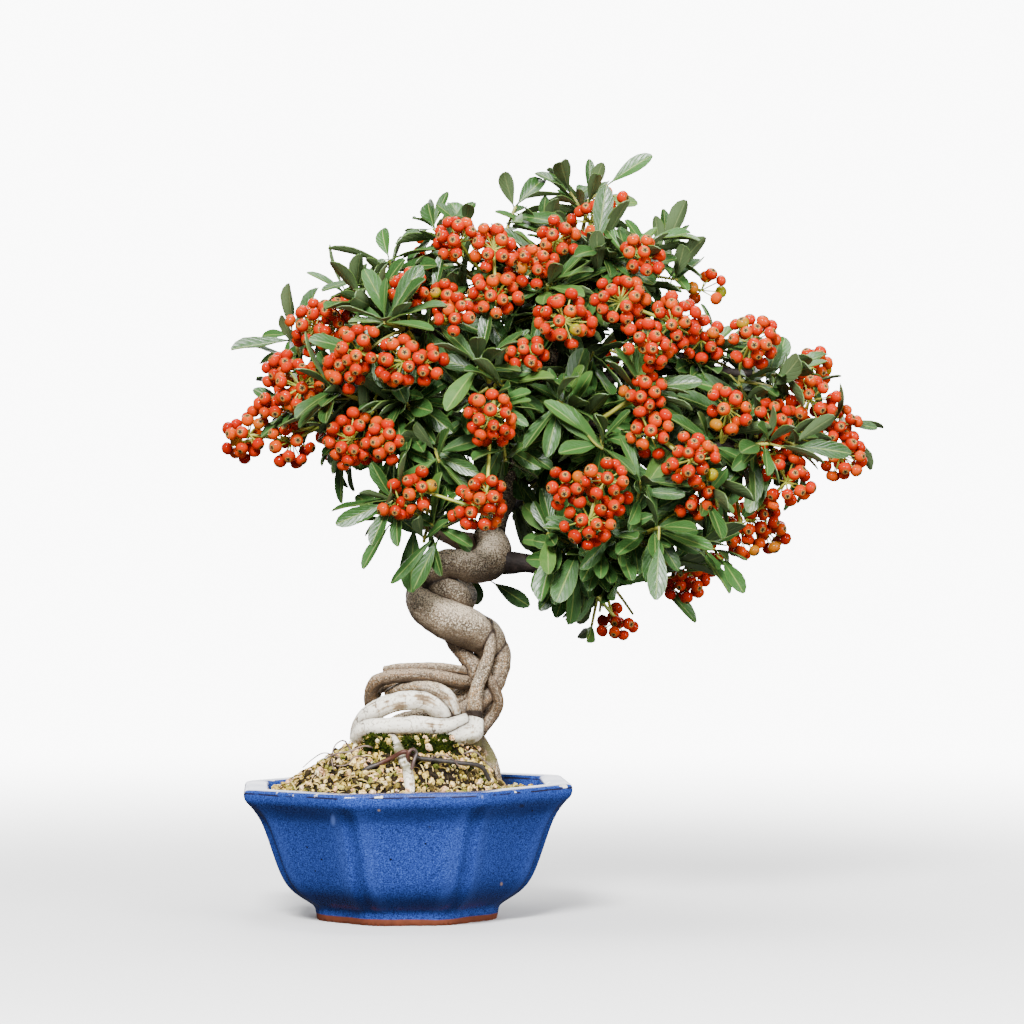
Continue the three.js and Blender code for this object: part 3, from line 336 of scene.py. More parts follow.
# Places where the crown can be seen through from the front, as (x, z, radius).
OPEN_PLACES = [
    (118, 154, 16), (134, 163, 9), (98, 152, 8), (83, 158, 5), (76, 147, 7), (-52, 241, 10),
    (-52, 226, 8), (162, 307, 10), (150, 305, 6), (202, 293, 9), (189, 300, 6), (215, 280, 7),
    (229, 266, 8), (122, 360, 9), (109, 373, 7), (-25, 347, 9), (-12, 347, 7), (42, 373, 9),
    (42, 360, 6), (30, 372, 6), (-11, 206, 7), (135, 327, 9), (162, 320, 8), (-20, 220, 5),
    (29, 236, 4), (188, 196, 6),
]

# How the crown grows. The tight shares say how far neighbours may press into one another.
GAP = 0.3
LEAF_LENGTH = (19, 30)
LEAF_WIDTH = (7, 10)
LEAF_TIGHT = 0.36
ADDED_LEAF_LENGTH = (18, 34)
ADDED_LEAF_SHAPE = (0.25, 0.35)
TIP_LEAF_LENGTH = (26, 34)
TIP_LEAF_SHAPE = (0.27, 0.34)
TIP_LEAF_REACH = 17
LEAF_SPACING = 1.5
BERRY_RADIUS = 3.5
BERRY_TIGHT = 0.94
CORE_RADIUS = 7.5
FULL_REACH = 13
TWIG_RADIUS = 1
PEDUNCLE_RADIUS = 0.9
SHOOT_LENGTH = (8, 30)
SHOOT_RADII = (1.1, 0.9, 0.7)
SHOOT_LEAVES = 8
SHOOT_SPACING = 1.8
CROWN_CENTRE = np.array([72.0, 5.0, 255.0])
CROWN_BOTTOM = 138
BARE_TRUNK_SIDE = 58
BARE_TRUNK_TOP = 200
GOLDEN_ANGLE = math.radians(137.5)
TRIES = 14
FIRST_SEED = 20641
SEED_STEP = 7919
CORNER_SIGNS = [(1, 1, 1), (-1, -1, 1), (1, -1, -1), (-1, 1, -1), (-1, 1, 1), (1, -1, 1), (1, 1, -1),
                (-1, -1, -1)]
FRONTWARD = np.array([0.1, -1.0, 0.35])
UPRIGHT = np.array([0.3, 0.2, 1.0])
X_AXIS = np.array([1.0, 0.0, 0.0])
Y_AXIS = np.array([0.0, 1.0, 0.0])
Z_AXIS = np.array([0.0, 0.0, 1.0])

# The laid wire and the short turn that ties it down.
WIRE_RADIUS = 1.15
TURN_RADIUS = WIRE_RADIUS * 0.85
WIRE_PATH = [(-22, -46, 74), (-18.7, -48, 78.5), (-12.7, -48, 81), (-5.3, -49, 84.5), (0.8, -52, 87.5),
             (6.5, -49, 84.6), (16.7, -46.5, 83), (27.7, -44, 81.5), (38.6, -37, 79), (43, -33, 72)]
WIRE_TURN = [(3, -52, 83), (2.2, -54.5, 86), (4.6, -54, 89), (6.8, -53, 87), (5.6, -54.5, 83.5),
             (4.4, -55, 79)]
# Dry rootlets, as points with a radius.
HAIR_ROOTS = [
    [(-14, -34, 88, 0.55), (-20, -38, 89.5, 0.5), (-27, -42, 87, 0.45), (-34, -44, 86, 0.4),
     (-39, -45, 83.5, 0.3)],
    [(-26, -40, 86, 0.5), (-30, -42, 92.5, 0.45), (-34, -43, 90.5, 0.4), (-36, -43, 84, 0.35),
     (-35, -44, 78, 0.3)],
    [(-32, -42, 84, 0.4), (-40, -46, 86.5, 0.35), (-46, -48, 83, 0.3), (-50, -50, 79.5, 0.25)],
    [(-18, -46, 84, 0.45), (-24, -50, 85, 0.4), (-28, -52, 81, 0.35), (-33, -53, 80.5, 0.3)],
    [(14, -52, 84, 0.4), (18, -55, 86, 0.35), (24, -54, 84.5, 0.35), (28, -54, 80, 0.3)],
    [(30, -44, 86, 0.45), (36, -46, 87, 0.4), (40, -45, 83, 0.35), (44, -44, 79, 0.3)],
    [(20, 44, 88, 0.5), (12, 50, 88, 0.45), (4, 53, 84, 0.4), (-2, 55, 80, 0.3)],
]

# Where stray moss grows on the mound, as (x, y, radius).
MOSS_PATCHES = [
    (-14, -34, 7), (-26, -30, 6), (16, -38, 7), (27, -33, 6), (-22, -50, 5), (38, -26, 6), (8, -60, 5),
    (-40, -10, 8), (-30, 34, 9), (12, 50, 8), (48, 24, 8),
]

# The stage, in metres. Each light has its place, its width and its height.
FLOOR_RADIUS = 1.6
FLOOR_FADE = (0.2, 1.5)
LIGHT_TARGET = (0.06, 0, 0.2)
LIGHTS = {
    "key": ((-0.3, -1.65, 1.3), 0.55, 0.55),
    "fill": ((1.5, -1.3, 0.6), 1.0, 1.0),
    "top": ((0.15, 0.25, 1.9), 1.1, 1.1),
    "back": ((0.0, 2.4, 0.75), 2.6, 1.3),
}
CAMERA_PLACE = (0.0542, -1.704, 0.1886)
CAMERA_PITCH = 0.011
SENSOR_WIDTH = 36


# What a user may change.
def colour_setting(name, description, default):
    return FloatVectorProperty(
        name=name, description=description, default=default, subtype="COLOR", min=0, max=1)


def number_setting(name, description, default, unit="NONE"):
    return FloatProperty(name=name, description=description, default=default, unit=unit)


def count_setting(name, description, default):
    return IntProperty(name=name, description=description, default=default, min=0)


class PotSettings(bpy.types.PropertyGroup):
    """The glazed pot."""

    glaze: colour_setting("Glaze", "Middle colour of the blue glaze", (0.0185, 0.040, 0.212))
    clay: colour_setting("Clay", "Colour of the bare fired clay at the foot", (0.105, 0.023, 0.0075))
    bare_foot: number_setting("Bare foot", "Height of the unglazed band", 3.2 * MM, "LENGTH")


class SoilSettings(bpy.types.PropertyGroup):
    """The mound of soil granules."""

    granules: count_setting("Granules", "How many granules lie on the mound", 4700)
    granule_size: number_setting("Granule size", "Mean width of a granule", 2.7 * MM, "LENGTH")
    straws: count_setting("Straws", "How many straws lie between the granules", 620)


class MossSettings(bpy.types.PropertyGroup):
    """The moss under the front roots."""

    tufts: count_setting("Tufts", "How many moss tufts stand on the cushion", 1500)
    strays: count_setting("Stray tufts", "How many moss tufts stand on the soil", 800)
    tuft_height: number_setting("Tuft height", "Height of a moss tuft", 2.0 * MM, "LENGTH")


class WoodSettings(bpy.types.PropertyGroup):
    """Trunk, roots and branches."""

    bark: colour_setting("Bark", "Colour of the trunk's bark", (0.18, 0.130, 0.080))
    bare_root: colour_setting("Bare root", "Colour of the bleached roots", (0.98, 0.94, 0.80))
    branch: colour_setting("Branch", "Colour of the young branches", (0.024, 0.016, 0.013))
    lumps: number_setting("Lumps", "Height of the bark's lumps", 0.7 * MM, "LENGTH")


class LeafSettings(bpy.types.PropertyGroup):
    """The foliage."""

    upper: colour_setting("Upper side", "Colour of a leaf's glossy side", (0.0255, 0.072, 0.0150))
    under: colour_setting("Underside", "Colour of a leaf's dull side", (0.078, 0.125, 0.046))
    crowding: count_setting("Crowding", "Leaves added to each rosette", 9)
    shoots: count_setting("Side shoots", "Short leafy shoots on each limb", 7)


class BerrySettings(bpy.types.PropertyGroup):
    """The berries."""

    ripe: colour_setting("Ripe", "Colour of a ripe berry", (0.39, 0.0086, 0.0002))
    turning: colour_setting("Turning", "Colour of a berry that still turns red", (0.46, 0.049, 0.0003))
    crowding: count_setting("Crowding", "Berries added to each cluster", 20)


class StageSettings(bpy.types.PropertyGroup):
    """Floor, lights and camera."""

    floor: colour_setting("Floor", "Colour of the floor", (0.82, 0.82, 0.82))
    key_power: number_setting("Key light", "Power of the light above the front", 135, "POWER")
    fill_power: number_setting("Fill light", "Power of the light at the right", 46, "POWER")
    top_power: number_setting("Top light", "Power of the light overhead", 48, "POWER")
    back_power: number_setting("Back light", "Power of the wide light behind", 50, "POWER")
    surround: number_setting("Surround", "Strength of the even light from all round", 0.4)
    mirrored: number_setting("Mirrored surround", "Strength of the even light in reflections", 0.05)
    backdrop: number_setting("Backdrop", "Brightness of the backdrop", 10)
    focal_length: number_setting("Focal length", "Focal length of the camera, in millimetres", 116.65)


# A run of numbers, curves and clearance, in millimetres.
class Dice:
    """A repeatable run of numbers from 0 to 1, started afresh for each bunch and spray."""

    FACTOR = 16807
    PRIME = 2147483647

    def __init__(self, seed):
        self.seed = seed

    def chance(self):
        self.seed = self.seed * self.FACTOR % self.PRIME
        return self.seed / self.PRIME

    def between(self, low, high):
        return low + (high - low) * self.chance()


class Route:
    """A smooth curve through points that carry a radius, walked by its length."""

    STEPS = np.linspace(0, 1, 201)
    NUDGE = 0.0001

    def __init__(self, points):
        self.points = np.array([point[:3] for point in points], float)
        self.radii = np.array([point[3] for point in points], float)
        before = 2 * self.points[0] - self.points[1]
        after = 2 * self.points[-1] - self.points[-2]
        self.ends = np.vstack([before, self.points, after])
        steps = np.linalg.norm(np.diff(self.bare(self.STEPS), axis=0), axis=1)
        self.lengths = np.concatenate([[0], np.cumsum(steps)])
        self.length = self.lengths[-1]

    def bare(self, t):
        """The curve's point at each t from 0 to 1."""
        last = len(self.points) - 1
        t = np.asarray(t, float)
        i = np.minimum((t * last).astype(int), last - 1)
        weight = (t * last - i)[..., None]
        one, two, three, four = (self.ends[i + k] for k in range(4))
        d0, d1, d2 = (np.sum((b - a) ** 2, axis=-1, keepdims=True) ** 0.25
                      for a, b in ((one, two), (two, three), (three, four)))
        middle = (three - two) / d1
        leave = ((two - one) / d0 - (three - one) / (d0 + d1) + middle) * d1
        arrive = (middle - (four - two) / (d1 + d2) + (four - three) / d2) * d1
        square = -3 * two + 3 * three - 2 * leave - arrive
        cube = 2 * two - 2 * three + leave + arrive
        return two + leave * weight + square * weight ** 2 + cube * weight ** 3

    def parameter(self, u):
        """The curve's t at a share of its length."""
        return np.interp(np.asarray(u) * self.length, self.lengths, self.STEPS)

    def point(self, u):
        return self.bare(self.parameter(u))

    def tangent(self, u):
        t = self.parameter(u)
        return unit(self.bare(min(t + self.NUDGE, 1)) - self.bare(max(t - self.NUDGE, 0)))

    def radius(self, u):
        return np.interp(self.parameter(u) * (len(self.radii) - 1), range(len(self.radii)), self.radii)

    def shares(self, every):
        """Even shares of the length, about so far apart."""
        count = max(2, math.ceil(self.length / every))
        return np.arange(count + 1) / count

    def balls(self, every=3.0):
        """The balls that cover the route, with a gap round them."""
        u = self.shares(every)
        return np.column_stack([self.point(u), self.radius(u) + GAP]).tolist()


def unit(vector):
    return vector / np.linalg.norm(vector)


def place_of(entry):
    """The place with which a point, a hub or a cluster starts."""
    return np.array(entry[:3], float)


def within(point, circles):
    """Whether a flat point lies in any of the circles."""
    return any(math.hypot(point[0] - x, point[1] - y) < radius for x, y, radius in circles)


def turned(vector, axis, angle):
    """The vector turned about a unit axis."""
    across = np.cross(axis, vector)
    along = axis * np.dot(axis, vector)
    return along + (vector - along) * math.cos(angle) + across * math.sin(angle)


def fanned(heading, turn, tilt):
    """A direction tilted away from the heading, at a turn round it."""
    side = turned(unit(np.cross(UPRIGHT, heading)), heading, turn)
    return heading * math.cos(tilt) + side * math.sin(tilt)


class Room:
    """The balls that cover what has grown so far, sorted into cells: place, radius, tight radius, owner."""

    CELL = 20
    WIDEST = 14

    def __init__(self):
        self.cells = {}
        self.names = {}

    def number(self, owner):
        """An owner's number, given at its first ask."""
        return self.names.setdefault(owner, len(self.names))

    def take(self, balls, owner, tight=1.0):
        number = self.number(owner)
        for x, y, z, radius in balls:
            cell = (int(x // self.CELL), int(y // self.CELL), int(z // self.CELL))
            self.cells.setdefault(cell, []).append((x, y, z, radius, radius * tight, number))

    def near(self, balls):
        """What lies in the cells round the balls."""
        places = np.asarray(balls)[:, :3]
        low = ((places.min(axis=0) - self.WIDEST) // self.CELL).astype(int)
        high = ((places.max(axis=0) + self.WIDEST) // self.CELL).astype(int)
        found = []
        for i in range(low[0], high[0] + 1):
            for j in range(low[1], high[1] + 1):
                for k in range(low[2], high[2] + 1):
                    found += self.cells.get((i, j, k), ())
        return np.array(found, float).reshape(-1, 6)

    def free(self, balls, owner):
        """Whether the balls keep a gap from those of all other owners."""
        others = self.near(balls)
        others = others[others[:, 5] != self.number(owner)]
        return apart(balls, others[:, :3], others[:, 3] + GAP)

    def fits(self, balls):
        """Whether the balls fit closely among all others."""
        others = self.near(balls)
        return apart(balls, others[:, :3], others[:, 4])


def apart(balls, centres, radii):
    """Whether no ball touches any of the others."""
    balls = np.asarray(balls)
    distance = np.sum((balls[:, None, :3] - centres[None]) ** 2, axis=2)
    reach = balls[:, None, 3] + radii[None]
    return bool(np.all(distance > reach ** 2))


class Leaf:
    """One leaf: its base, its three directions and its size."""

    DROOP = 0.12
    UPWARD = 1.1
    ROWS = 6

    def __init__(self, base, along, length, width, roll=0.0, kind=0):
        self.base = base
        self.along = along
        self.length = length
        self.width = width
        self.kind = kind
        self.face(unit(base - CROWN_CENTRE) + Z_AXIS * self.UPWARD, roll)

    def face(self, way, roll):
        """Turns the leaf about its length to face a way, give or take the roll."""
        normal = unit(way - self.along * np.dot(way, self.along))
        self.normal = turned(normal, self.along, roll)
        self.across = np.cross(self.normal, self.along)

    def point(self, t):
        """The rib's point at a share of the leaf's length."""
        return self.base + self.along * (self.length * t) - self.normal * (self.DROOP * self.length * t * t)

    def balls(self, share=1.0):
        """The balls that cover the blade, in pairs from its base to its tip."""
        found = []
        for i in range(self.ROWS):
            t = 0.12 + 0.16 * i
            wide = self.width * min(1, 0.25 + 1.1 * t) * (0.75 if t > 0.9 else 1)
            radius = (math.hypot(wide * 0.25, self.length * 0.08) + 0.2) * share
            for side in (-1, 1):
                found.append((*(self.point(t) + self.across * (side * wide * 0.25)), radius))
        return found

    def matrix(self):
        """What puts a leaf of unit size in this leaf's place."""
        columns = [self.across * self.width, self.along * self.length, self.normal * self.length]
        return placed(columns, self.base)


def placed(columns, origin):
    """A matrix from three directions and an origin in millimetres, in metres."""
    made = Matrix.Identity(4)
    for i, column in enumerate([*columns, origin]):
        for row in range(3):
            made[row][i] = float(column[row]) * MM
    return made


class Crown:
    """Where each berry, leaf, stalk and twig of the crown grows."""

    # A limb is cut into this many steps, and stalks may start from this one on.
    SPOTS = 20
    FIRST_SPOT = 6
    # How far a stalk runs straight out of its limb, and how far a packed berry strays from its corner.
    BEND = 2.5
    SPREAD = 0.16
    # How far each new try for a leaf turns on.
    NEXT_TRY = 0.9
    # Leaves of an added rosette beyond those its list names.
    EXTRA_LEAVES = 3
    # Where a limb's shoots start, and over how much of it they stand, as shares of its length.
    SHOOTS_FROM = 0.22
    SHOOTS_OVER = 0.76
    SHOOT_INSIDE = 8
    OFF_AXIS = (0.31, 0.2, 0.93)
    # Layers of a full cluster: how deep each lies, the share of berries placed by its end, and its tries.
    LAYERS = ((1.2, 0.8, 80), (6.5, 1.0, 40))

    def __init__(self, leaf_crowding, shoots, berry_crowding):
        self.room = Room()
        self.limbs = {name: Route(points) for name, points in LIMBS.items()}
        shares = [i / self.SPOTS for i in range(self.FIRST_SPOT, self.SPOTS)]
        self.places = [(limb, share) for limb in self.limbs.values() for share in shares]
        self.spots = np.array([limb.point(u) for limb, u in self.places])
        self.limbs["crown_tip"] = Route(TRUNK[-1])
        for points in [*TRUNK, *ROOTS, *LIMBS.values()]:
            self.room.take(Route(points).balls(), "wood")
        self.berries = {name: [] for name in BUNCHES}
        self.stalks = {name: [] for name in BUNCHES}
        self.leaves = {name: [] for name in SPRAYS}
        self.twigs = {name: [] for name in SPRAYS}
        for name, clusters, dice in self.each(BUNCHES, 0):
            self.grow_bunch(name, clusters, dice)
        for name, hubs, dice in self.each(SPRAYS, 100):
            self.grow_spray(name, hubs, dice)
        for name, clusters, dice in self.each(BUNCHES, 200):
            crowding = berry_crowding * OPEN_BUNCHES.get(name, 1)
            for cluster in clusters:
                self.crowd_cluster(name, cluster, crowding, dice)
            for cluster in MORE_CLUSTERS.get(name, []):
                self.stalks[name].append(self.stalk_from_limb(place_of(cluster)))
                self.crowd_cluster(name, cluster, crowding, dice)
        self.grow_tips(Dice(FIRST_SEED - 1))
        self.hang_leaves(Dice(FIRST_SEED - 2))
        for name, hubs, dice in self.each(SPRAYS, 300):
            self.crowd_spray(name, hubs, leaf_crowding, shoots, dice)

    @staticmethod
    def each(plan, first):
        """Each entry of a plan with its own run of numbers."""
        for i, (name, entry) in enumerate(plan.items()):
            yield name, entry, Dice(FIRST_SEED + SEED_STEP * (first + i))

    def nearest_wood(self, hub):
        """The point of a limb that is nearest, with the limb's radius and direction there."""
        limb, u = self.places[int(np.argmin(np.sum((self.spots - hub) ** 2, axis=1)))]
        return limb.point(u), limb.radius(u), limb.tangent(u)

    def stalk_from_limb(self, hub):
        """A stalk leaves its limb square to it."""
        point, radius, tangent = self.nearest_wood(hub)
        side = hub - point
        side = unit(side - tangent * np.dot(side, tangent))
        foot = point + side * (radius + GAP)
        bend = foot + side * self.BEND
        return [(*spot, PEDUNCLE_RADIUS) for spot in (foot, bend, (bend + hub) / 2, hub)]

    def grow_bunch(self, name, clusters, dice):
        """The packed berries: a stalk from the limb, on from hub to hub, with a cluster round each."""
        start = None
        for cluster in clusters:
            hub = place_of(cluster)
            if start is None:
                stalk = self.stalk_from_limb(hub)
            else:
                stalk = [(*spot, PEDUNCLE_RADIUS) for spot in (start, (start + hub) / 2, hub)]
            self.stalks[name].append(stalk)
            self.room.take(Route(stalk).balls(), "bunch " + name)
            start = hub
        for cluster in clusters:
            self.grow_cluster(name, cluster, dice)

    def grow_cluster(self, name, cluster, dice):
        """Berries towards the corners of a cube that leans a little."""
        hub = place_of(cluster)
        reach, count = cluster[3:]
        lean = [dice.between(-3, 3) for _ in range(3)]
        self.room.take([(*hub, CORE_RADIUS * 0.8)], "bunch " + name)
        made = 0
        for signs in CORNER_SIGNS:
            way = unit(np.array(signs, float))
            for axis, angle in zip((X_AXIS, Y_AXIS, Z_AXIS), lean):
                way = turned(way, axis, angle)
            for _ in range(TRIES):
                if made >= count:
                    break
                stray = [dice.between(-self.SPREAD, self.SPREAD) for _ in range(3)]
                towards = unit(way + np.array(stray))
                length = reach - BERRY_RADIUS + dice.between(-1.2, 1)
                ball = (*(hub + towards * length), BERRY_RADIUS + GAP)
                if self.room.free([ball], "bunch " + name):
                    self.room.take([ball], "bunch " + name, BERRY_TIGHT)
                    self.berries[name].append((hub, towards, length, BERRY_RADIUS))
                    made += 1
                    break

    def grow_spray(self, name, hubs, dice):
        """The packed leaves: a twig from the limb's end to each hub, and a rosette on each."""
        route = self.limbs[name]
        heading = route.tangent(1)
        start = route.point(1) + heading * GAP
        lead = start + heading * 3
        for i, hub in enumerate(hubs):
            top = place_of(hub)
            foot = start + heading * (0 if i == 0 else 1.2)
            thick = TWIG_RADIUS * (1.5 if i == 0 else 1.15)
            line = [foot, lead, (lead + top) / 2, top]
            stem = [(*point, thick * (1 - 0.13 * k)) for k, point in enumerate(line)]
            self.twigs[name].append(stem)
            self.room.take(Route(stem).balls(), "spray " + name)
        for hub in hubs:
            top = place_of(hub)
            self.grow_rosette(name, top, unit(top - lead), hub[3], dice)

    def grow_rosette(self, name, hub, heading, count, dice):
        """Leaves in a spiral down the twig, the first one nearly upright."""
        for i in range(count):
            for go in range(TRIES):
                turn = i * GOLDEN_ANGLE + dice.between(-0.5, 0.5) + go * self.NEXT_TRY
                tilt = math.radians(dice.between(10, 35) if i == 0 else dice.between(48, 85))
                along = fanned(heading, turn, tilt)
                base = hub - heading * (1 + 2.4 * i)
                length = dice.between(*LEAF_LENGTH)
                width = dice.between(*LEAF_WIDTH)
                leaf = Leaf(base, along, length, width, dice.between(-0.6, 0.6))
                if self.room.free(leaf.balls(), "spray " + name):
                    self.room.take(leaf.balls(), "spray " + name, LEAF_TIGHT)
                    self.leaves[name].append(leaf)
                    break

    def inside(self, point, beyond=0.0):
        """Whether a point is at most so far outside the packed solids' box, and clear of the open trunk."""
        low, high = (np.array(corner) / MM for corner in CAD_BOX)
        if point[0] < BARE_TRUNK_SIDE and point[2] < BARE_TRUNK_TOP:
            return False
        if point[2] <= CROWN_BOTTOM:
            return False
        return bool(np.all(point > low - beyond) and np.all(point < high + beyond))

    def hang_leaves(self, dice):
        """The leaves round the trunk, on one thin twig."""
        self.twigs["low_left"].append(HANGING_TWIG)
        for base, tip, width in HANGING_LEAVES:
            base, tip = np.array(base, float), np.array(tip, float)
            length = np.linalg.norm(tip - base)
            leaf = Leaf(base, (tip - base) / length, length, width)
            leaf.face(FRONTWARD, dice.between(-0.4, 0.4))
            self.room.take(leaf.balls(), "crowd", LEAF_TIGHT)
            self.leaves["low_left"].append(leaf)

    def grow_tips(self, dice):
        """Each leaf that stands out grows from the nearest rosette, on a stalk where that is far."""
        hubs = [(name, place_of(hub)) for name, packed in SPRAYS.items() for hub in packed]
        hubs += [(name, place_of(hub)) for name, more in MORE_ROSETTES.items() for hub in more]
        for tip in LEAF_TIPS:
            tip = np.array(tip, float)
            far = [(np.linalg.norm(tip - hub), name, hub) for name, hub in hubs]
            far = [found for found in far if found[0] > TIP_LEAF_REACH]
            away, name, hub = min(far, key=lambda found: found[0])
            along = (tip - hub) / away
            length = min(away - 1, dice.between(*TIP_LEAF_LENGTH))
            base = tip - along * length
            if away - length > 3:
                self.twigs[name].append([(*hub, 0.8), (*((hub + base) / 2 - Z_AXIS), 0.7), (*base, 0.6)])
            leaf = Leaf(base, along, length, length * dice.between(*TIP_LEAF_SHAPE))
            leaf.face(leaf.normal * 0.5 + FRONTWARD, dice.between(-0.5, 0.5))
            self.room.take(leaf.balls(), "crowd", LEAF_TIGHT)
            self.leaves[name].append(leaf)

    def crowd_cluster(self, name, cluster, crowding, dice):
        """Fills a cluster out to a dome of berries, from its outer side back towards its stalk."""
        hub = place_of(cluster)
        reach = cluster[3]
        outward = unit(hub - CROWN_CENTRE)
        first = unit(np.cross(outward, self.OFF_AXIS))
        second = np.cross(outward, first)
        made = 0
        wanted = crowding * (reach / FULL_REACH) ** 2
        for depth, share, spots in self.LAYERS:
            for i in range(spots):
                high = 1 - 1.7 * (i + 0.5) / spots
                turn = i * GOLDEN_ANGLE + dice.between(-0.3, 0.3)
                length = reach - depth + dice.between(-2.2, 1.2)
                radius = BERRY_RADIUS * dice.between(0.86, 1.03)
                way = outward * high
                way = way + (first * math.cos(turn) + second * math.sin(turn)) * math.sqrt(1 - high * high)
                centre = hub + way * length
                ball = (*centre, radius * BERRY_TIGHT)
                if made < wanted * share and self.inside(centre, 2) and self.room.fits([ball]):
                    self.room.take([(*centre, radius)], "bunch " + name, BERRY_TIGHT)
                    self.berries[name].append((hub, way, length, radius))
                    made += 1

    def crowd_spray(self, name, hubs, crowding, shoots, dice):
        """Fills a spray's rosettes, adds the ones between and sets short shoots along its limb."""
        route = self.limbs[name]
        for hub in hubs:
            top = place_of(hub)
            heading = unit(top - route.point(1) - route.tangent(1) * 3)
            self.add_leaves(name, top, heading, crowding, dice, LEAF_SPACING)
        for hub in MORE_ROSETTES.get(name, []):
            top = place_of(hub)
            stalk = self.stalk_from_limb(top)
            self.twigs[name].append(stalk)
            heading = unit(top - place_of(stalk[1]))
            self.add_leaves(name, top, heading, hub[3] + self.EXTRA_LEAVES, dice, LEAF_SPACING)
        for i in range(shoots):
            u = self.SHOOTS_FROM + self.SHOOTS_OVER * (i + dice.between(0.1, 0.9)) / shoots
            foot = route.point(u)
            tangent = route.tangent(u)
            outward = unit(foot - CROWN_CENTRE + Z_AXIS * 20)
            side = unit(np.cross(tangent, outward + Z_AXIS * 0.2))
            way = turned(side, tangent, dice.between(0, math.tau))
            way = unit(way + tangent * 0.4 + outward * 0.4)
            length = dice.between(*SHOOT_LENGTH)
            top = foot + way * length
            if not self.inside(top, -self.SHOOT_INSIDE):
                continue
            middle = foot + way * (length * 0.5) + Z_AXIS * 1.2
            line = zip((foot, middle, top), SHOOT_RADII)
            self.twigs[name].append([(*point, radius) for point, radius in line])
            self.add_leaves(name, top, way, SHOOT_LEAVES, dice, SHOOT_SPACING)

    def add_leaves(self, name, hub, heading, count, dice, spacing):
        """Leaves in a spiral wherever there is room for their outer parts."""
        for i in range(count):
            for go in range(TRIES):
                turn = i * GOLDEN_ANGLE + dice.between(-0.6, 0.6) + go * self.NEXT_TRY
                tilt = math.radians(dice.between(35, 100))
                along = fanned(heading, turn, tilt)
                base = hub - heading * (spacing * i)
                length = dice.between(*ADDED_LEAF_LENGTH)
                width = length * dice.between(*ADDED_LEAF_SHAPE)
                roll = dice.between(-0.7, 0.7)
                kind = int(dice.chance() * len(LEAF_KINDS))
                leaf = Leaf(base, along, length, width, roll, kind)
                if any(within(leaf.point(t)[[0, 2]], OPEN_PLACES) for t in (1, 0.55)):
                    continue
                if self.inside(leaf.point(1), 3) and self.room.fits(leaf.balls(LEAF_TIGHT)[4:]):
                    self.room.take(leaf.balls(), "crowd", LEAF_TIGHT)
                    self.leaves[name].append(leaf)
                    break


# Modelling helpers.
def deselect():
    bpy.ops.object.select_all(action="DESELECT")


def activate(piece):
    deselect()
    piece.select_set(True)
    bpy.context.view_layer.objects.active = piece


def added(operator, name, **settings):
    """A new piece from one of the primitives."""
    deselect()
    operator(**settings)
    piece = bpy.context.object
    piece.name = name
    return piece


@contextmanager
def edit_mode(piece):
    """Edit mode on a piece, with its mesh to pick faces and edges by their place."""
    activate(piece)
    bpy.ops.object.mode_set(mode="EDIT")
    yield bmesh.from_edit_mesh(piece.data)
    bmesh.update_edit_mesh(piece.data)
    bpy.ops.object.mode_set(mode="OBJECT")


def finish_with(piece, kind, **settings):
    """Adds a modifier to the piece and applies it."""
    made = piece.modifiers.new(kind.lower(), kind)
    for key, value in settings.items():
        setattr(made, key, value)
    activate(piece)
    bpy.ops.object.modifier_apply(modifier=made.name)


def roughen(piece, name, size, height):
    """Pushes the surface in and out by soft lumps of about one size."""
    clouds = bpy.data.textures.new(name, "CLOUDS")
    clouds.noise_scale = size
    clouds.noise_depth = 2
    finish_with(piece, "DISPLACE", texture=clouds, strength=height * 2, mid_level=0.5, texture_coords="LOCAL")


def smooth(piece, angle=None):
    """Shades the piece smooth, but for edges sharper than the angle in degrees."""
    activate(piece)
    if angle is None:
        bpy.ops.object.shade_smooth()
    else:
        bpy.ops.object.shade_smooth_by_angle(angle=math.radians(angle))


def coat(piece, finish):
    """Gives a piece or a CAD node one finish in place of those it had."""
    piece.data.materials.clear()
    piece.data.materials.append(finish)


def dress(piece, finish, slot, *nodes):
    """Gives a piece its finish, its body and the nodes that it stands for. The slot is not used."""
    coat(piece, finish)
    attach(piece, "root")
    if nodes:
        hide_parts(*nodes)


def tubes(name, routes, sides, every):
    """Round tapered tubes along routes in millimetres, as one mesh of closed tubes."""
    piece = added(bpy.ops.curve.primitive_bezier_curve_add, name)
    curve = piece.data
    curve.splines.clear()
    curve.dimensions = "3D"
    curve.bevel_depth = 1
    curve.bevel_resolution = max(0, (sides - 4) // 2)
    curve.use_fill_caps = True
    for points in routes:
        route = Route(points)
        u = route.shares(every)
        spline = curve.splines.new("POLY")
        spline.points.add(len(u) - 1)
        places = np.column_stack([route.point(u) * MM, np.ones(len(u))])
        spline.points.foreach_set("co", places.ravel())
        spline.points.foreach_set("radius", route.radius(u) * MM)
    activate(piece)
    bpy.ops.object.convert(target="MESH")
    return bpy.context.object


def copy_of(pattern, matrix, tint=None):
    """A copy of a pattern with its own mesh, put in place."""
    twin = pattern.copy()
    twin.data = pattern.data.copy()
    twin.data.transform(matrix)
    bpy.context.collection.objects.link(twin)
    if tint is not None:
        colours = twin.data.attributes["tint"].data
        colours.foreach_set("value", np.full(len(colours), tint, np.float32))
    return twin


def joined(name, parts):
    """The parts as one piece."""
    deselect()
    for part in parts:
        part.select_set(True)
    bpy.context.view_layer.objects.active = parts[0]
    if len(parts) > 1:
        bpy.ops.object.join()
    parts[0].name = name
    return parts[0]


def add_values(piece, name, domain, values):
    """A new attribute, with one value for each face or point."""
    made = piece.data.attributes.new(name, "FLOAT", domain)
    made.data.foreach_set("value", np.asarray(values, np.float32))


def add_tint(piece):
    add_values(piece, "tint", "FACE", [0.5] * len(piece.data.polygons))


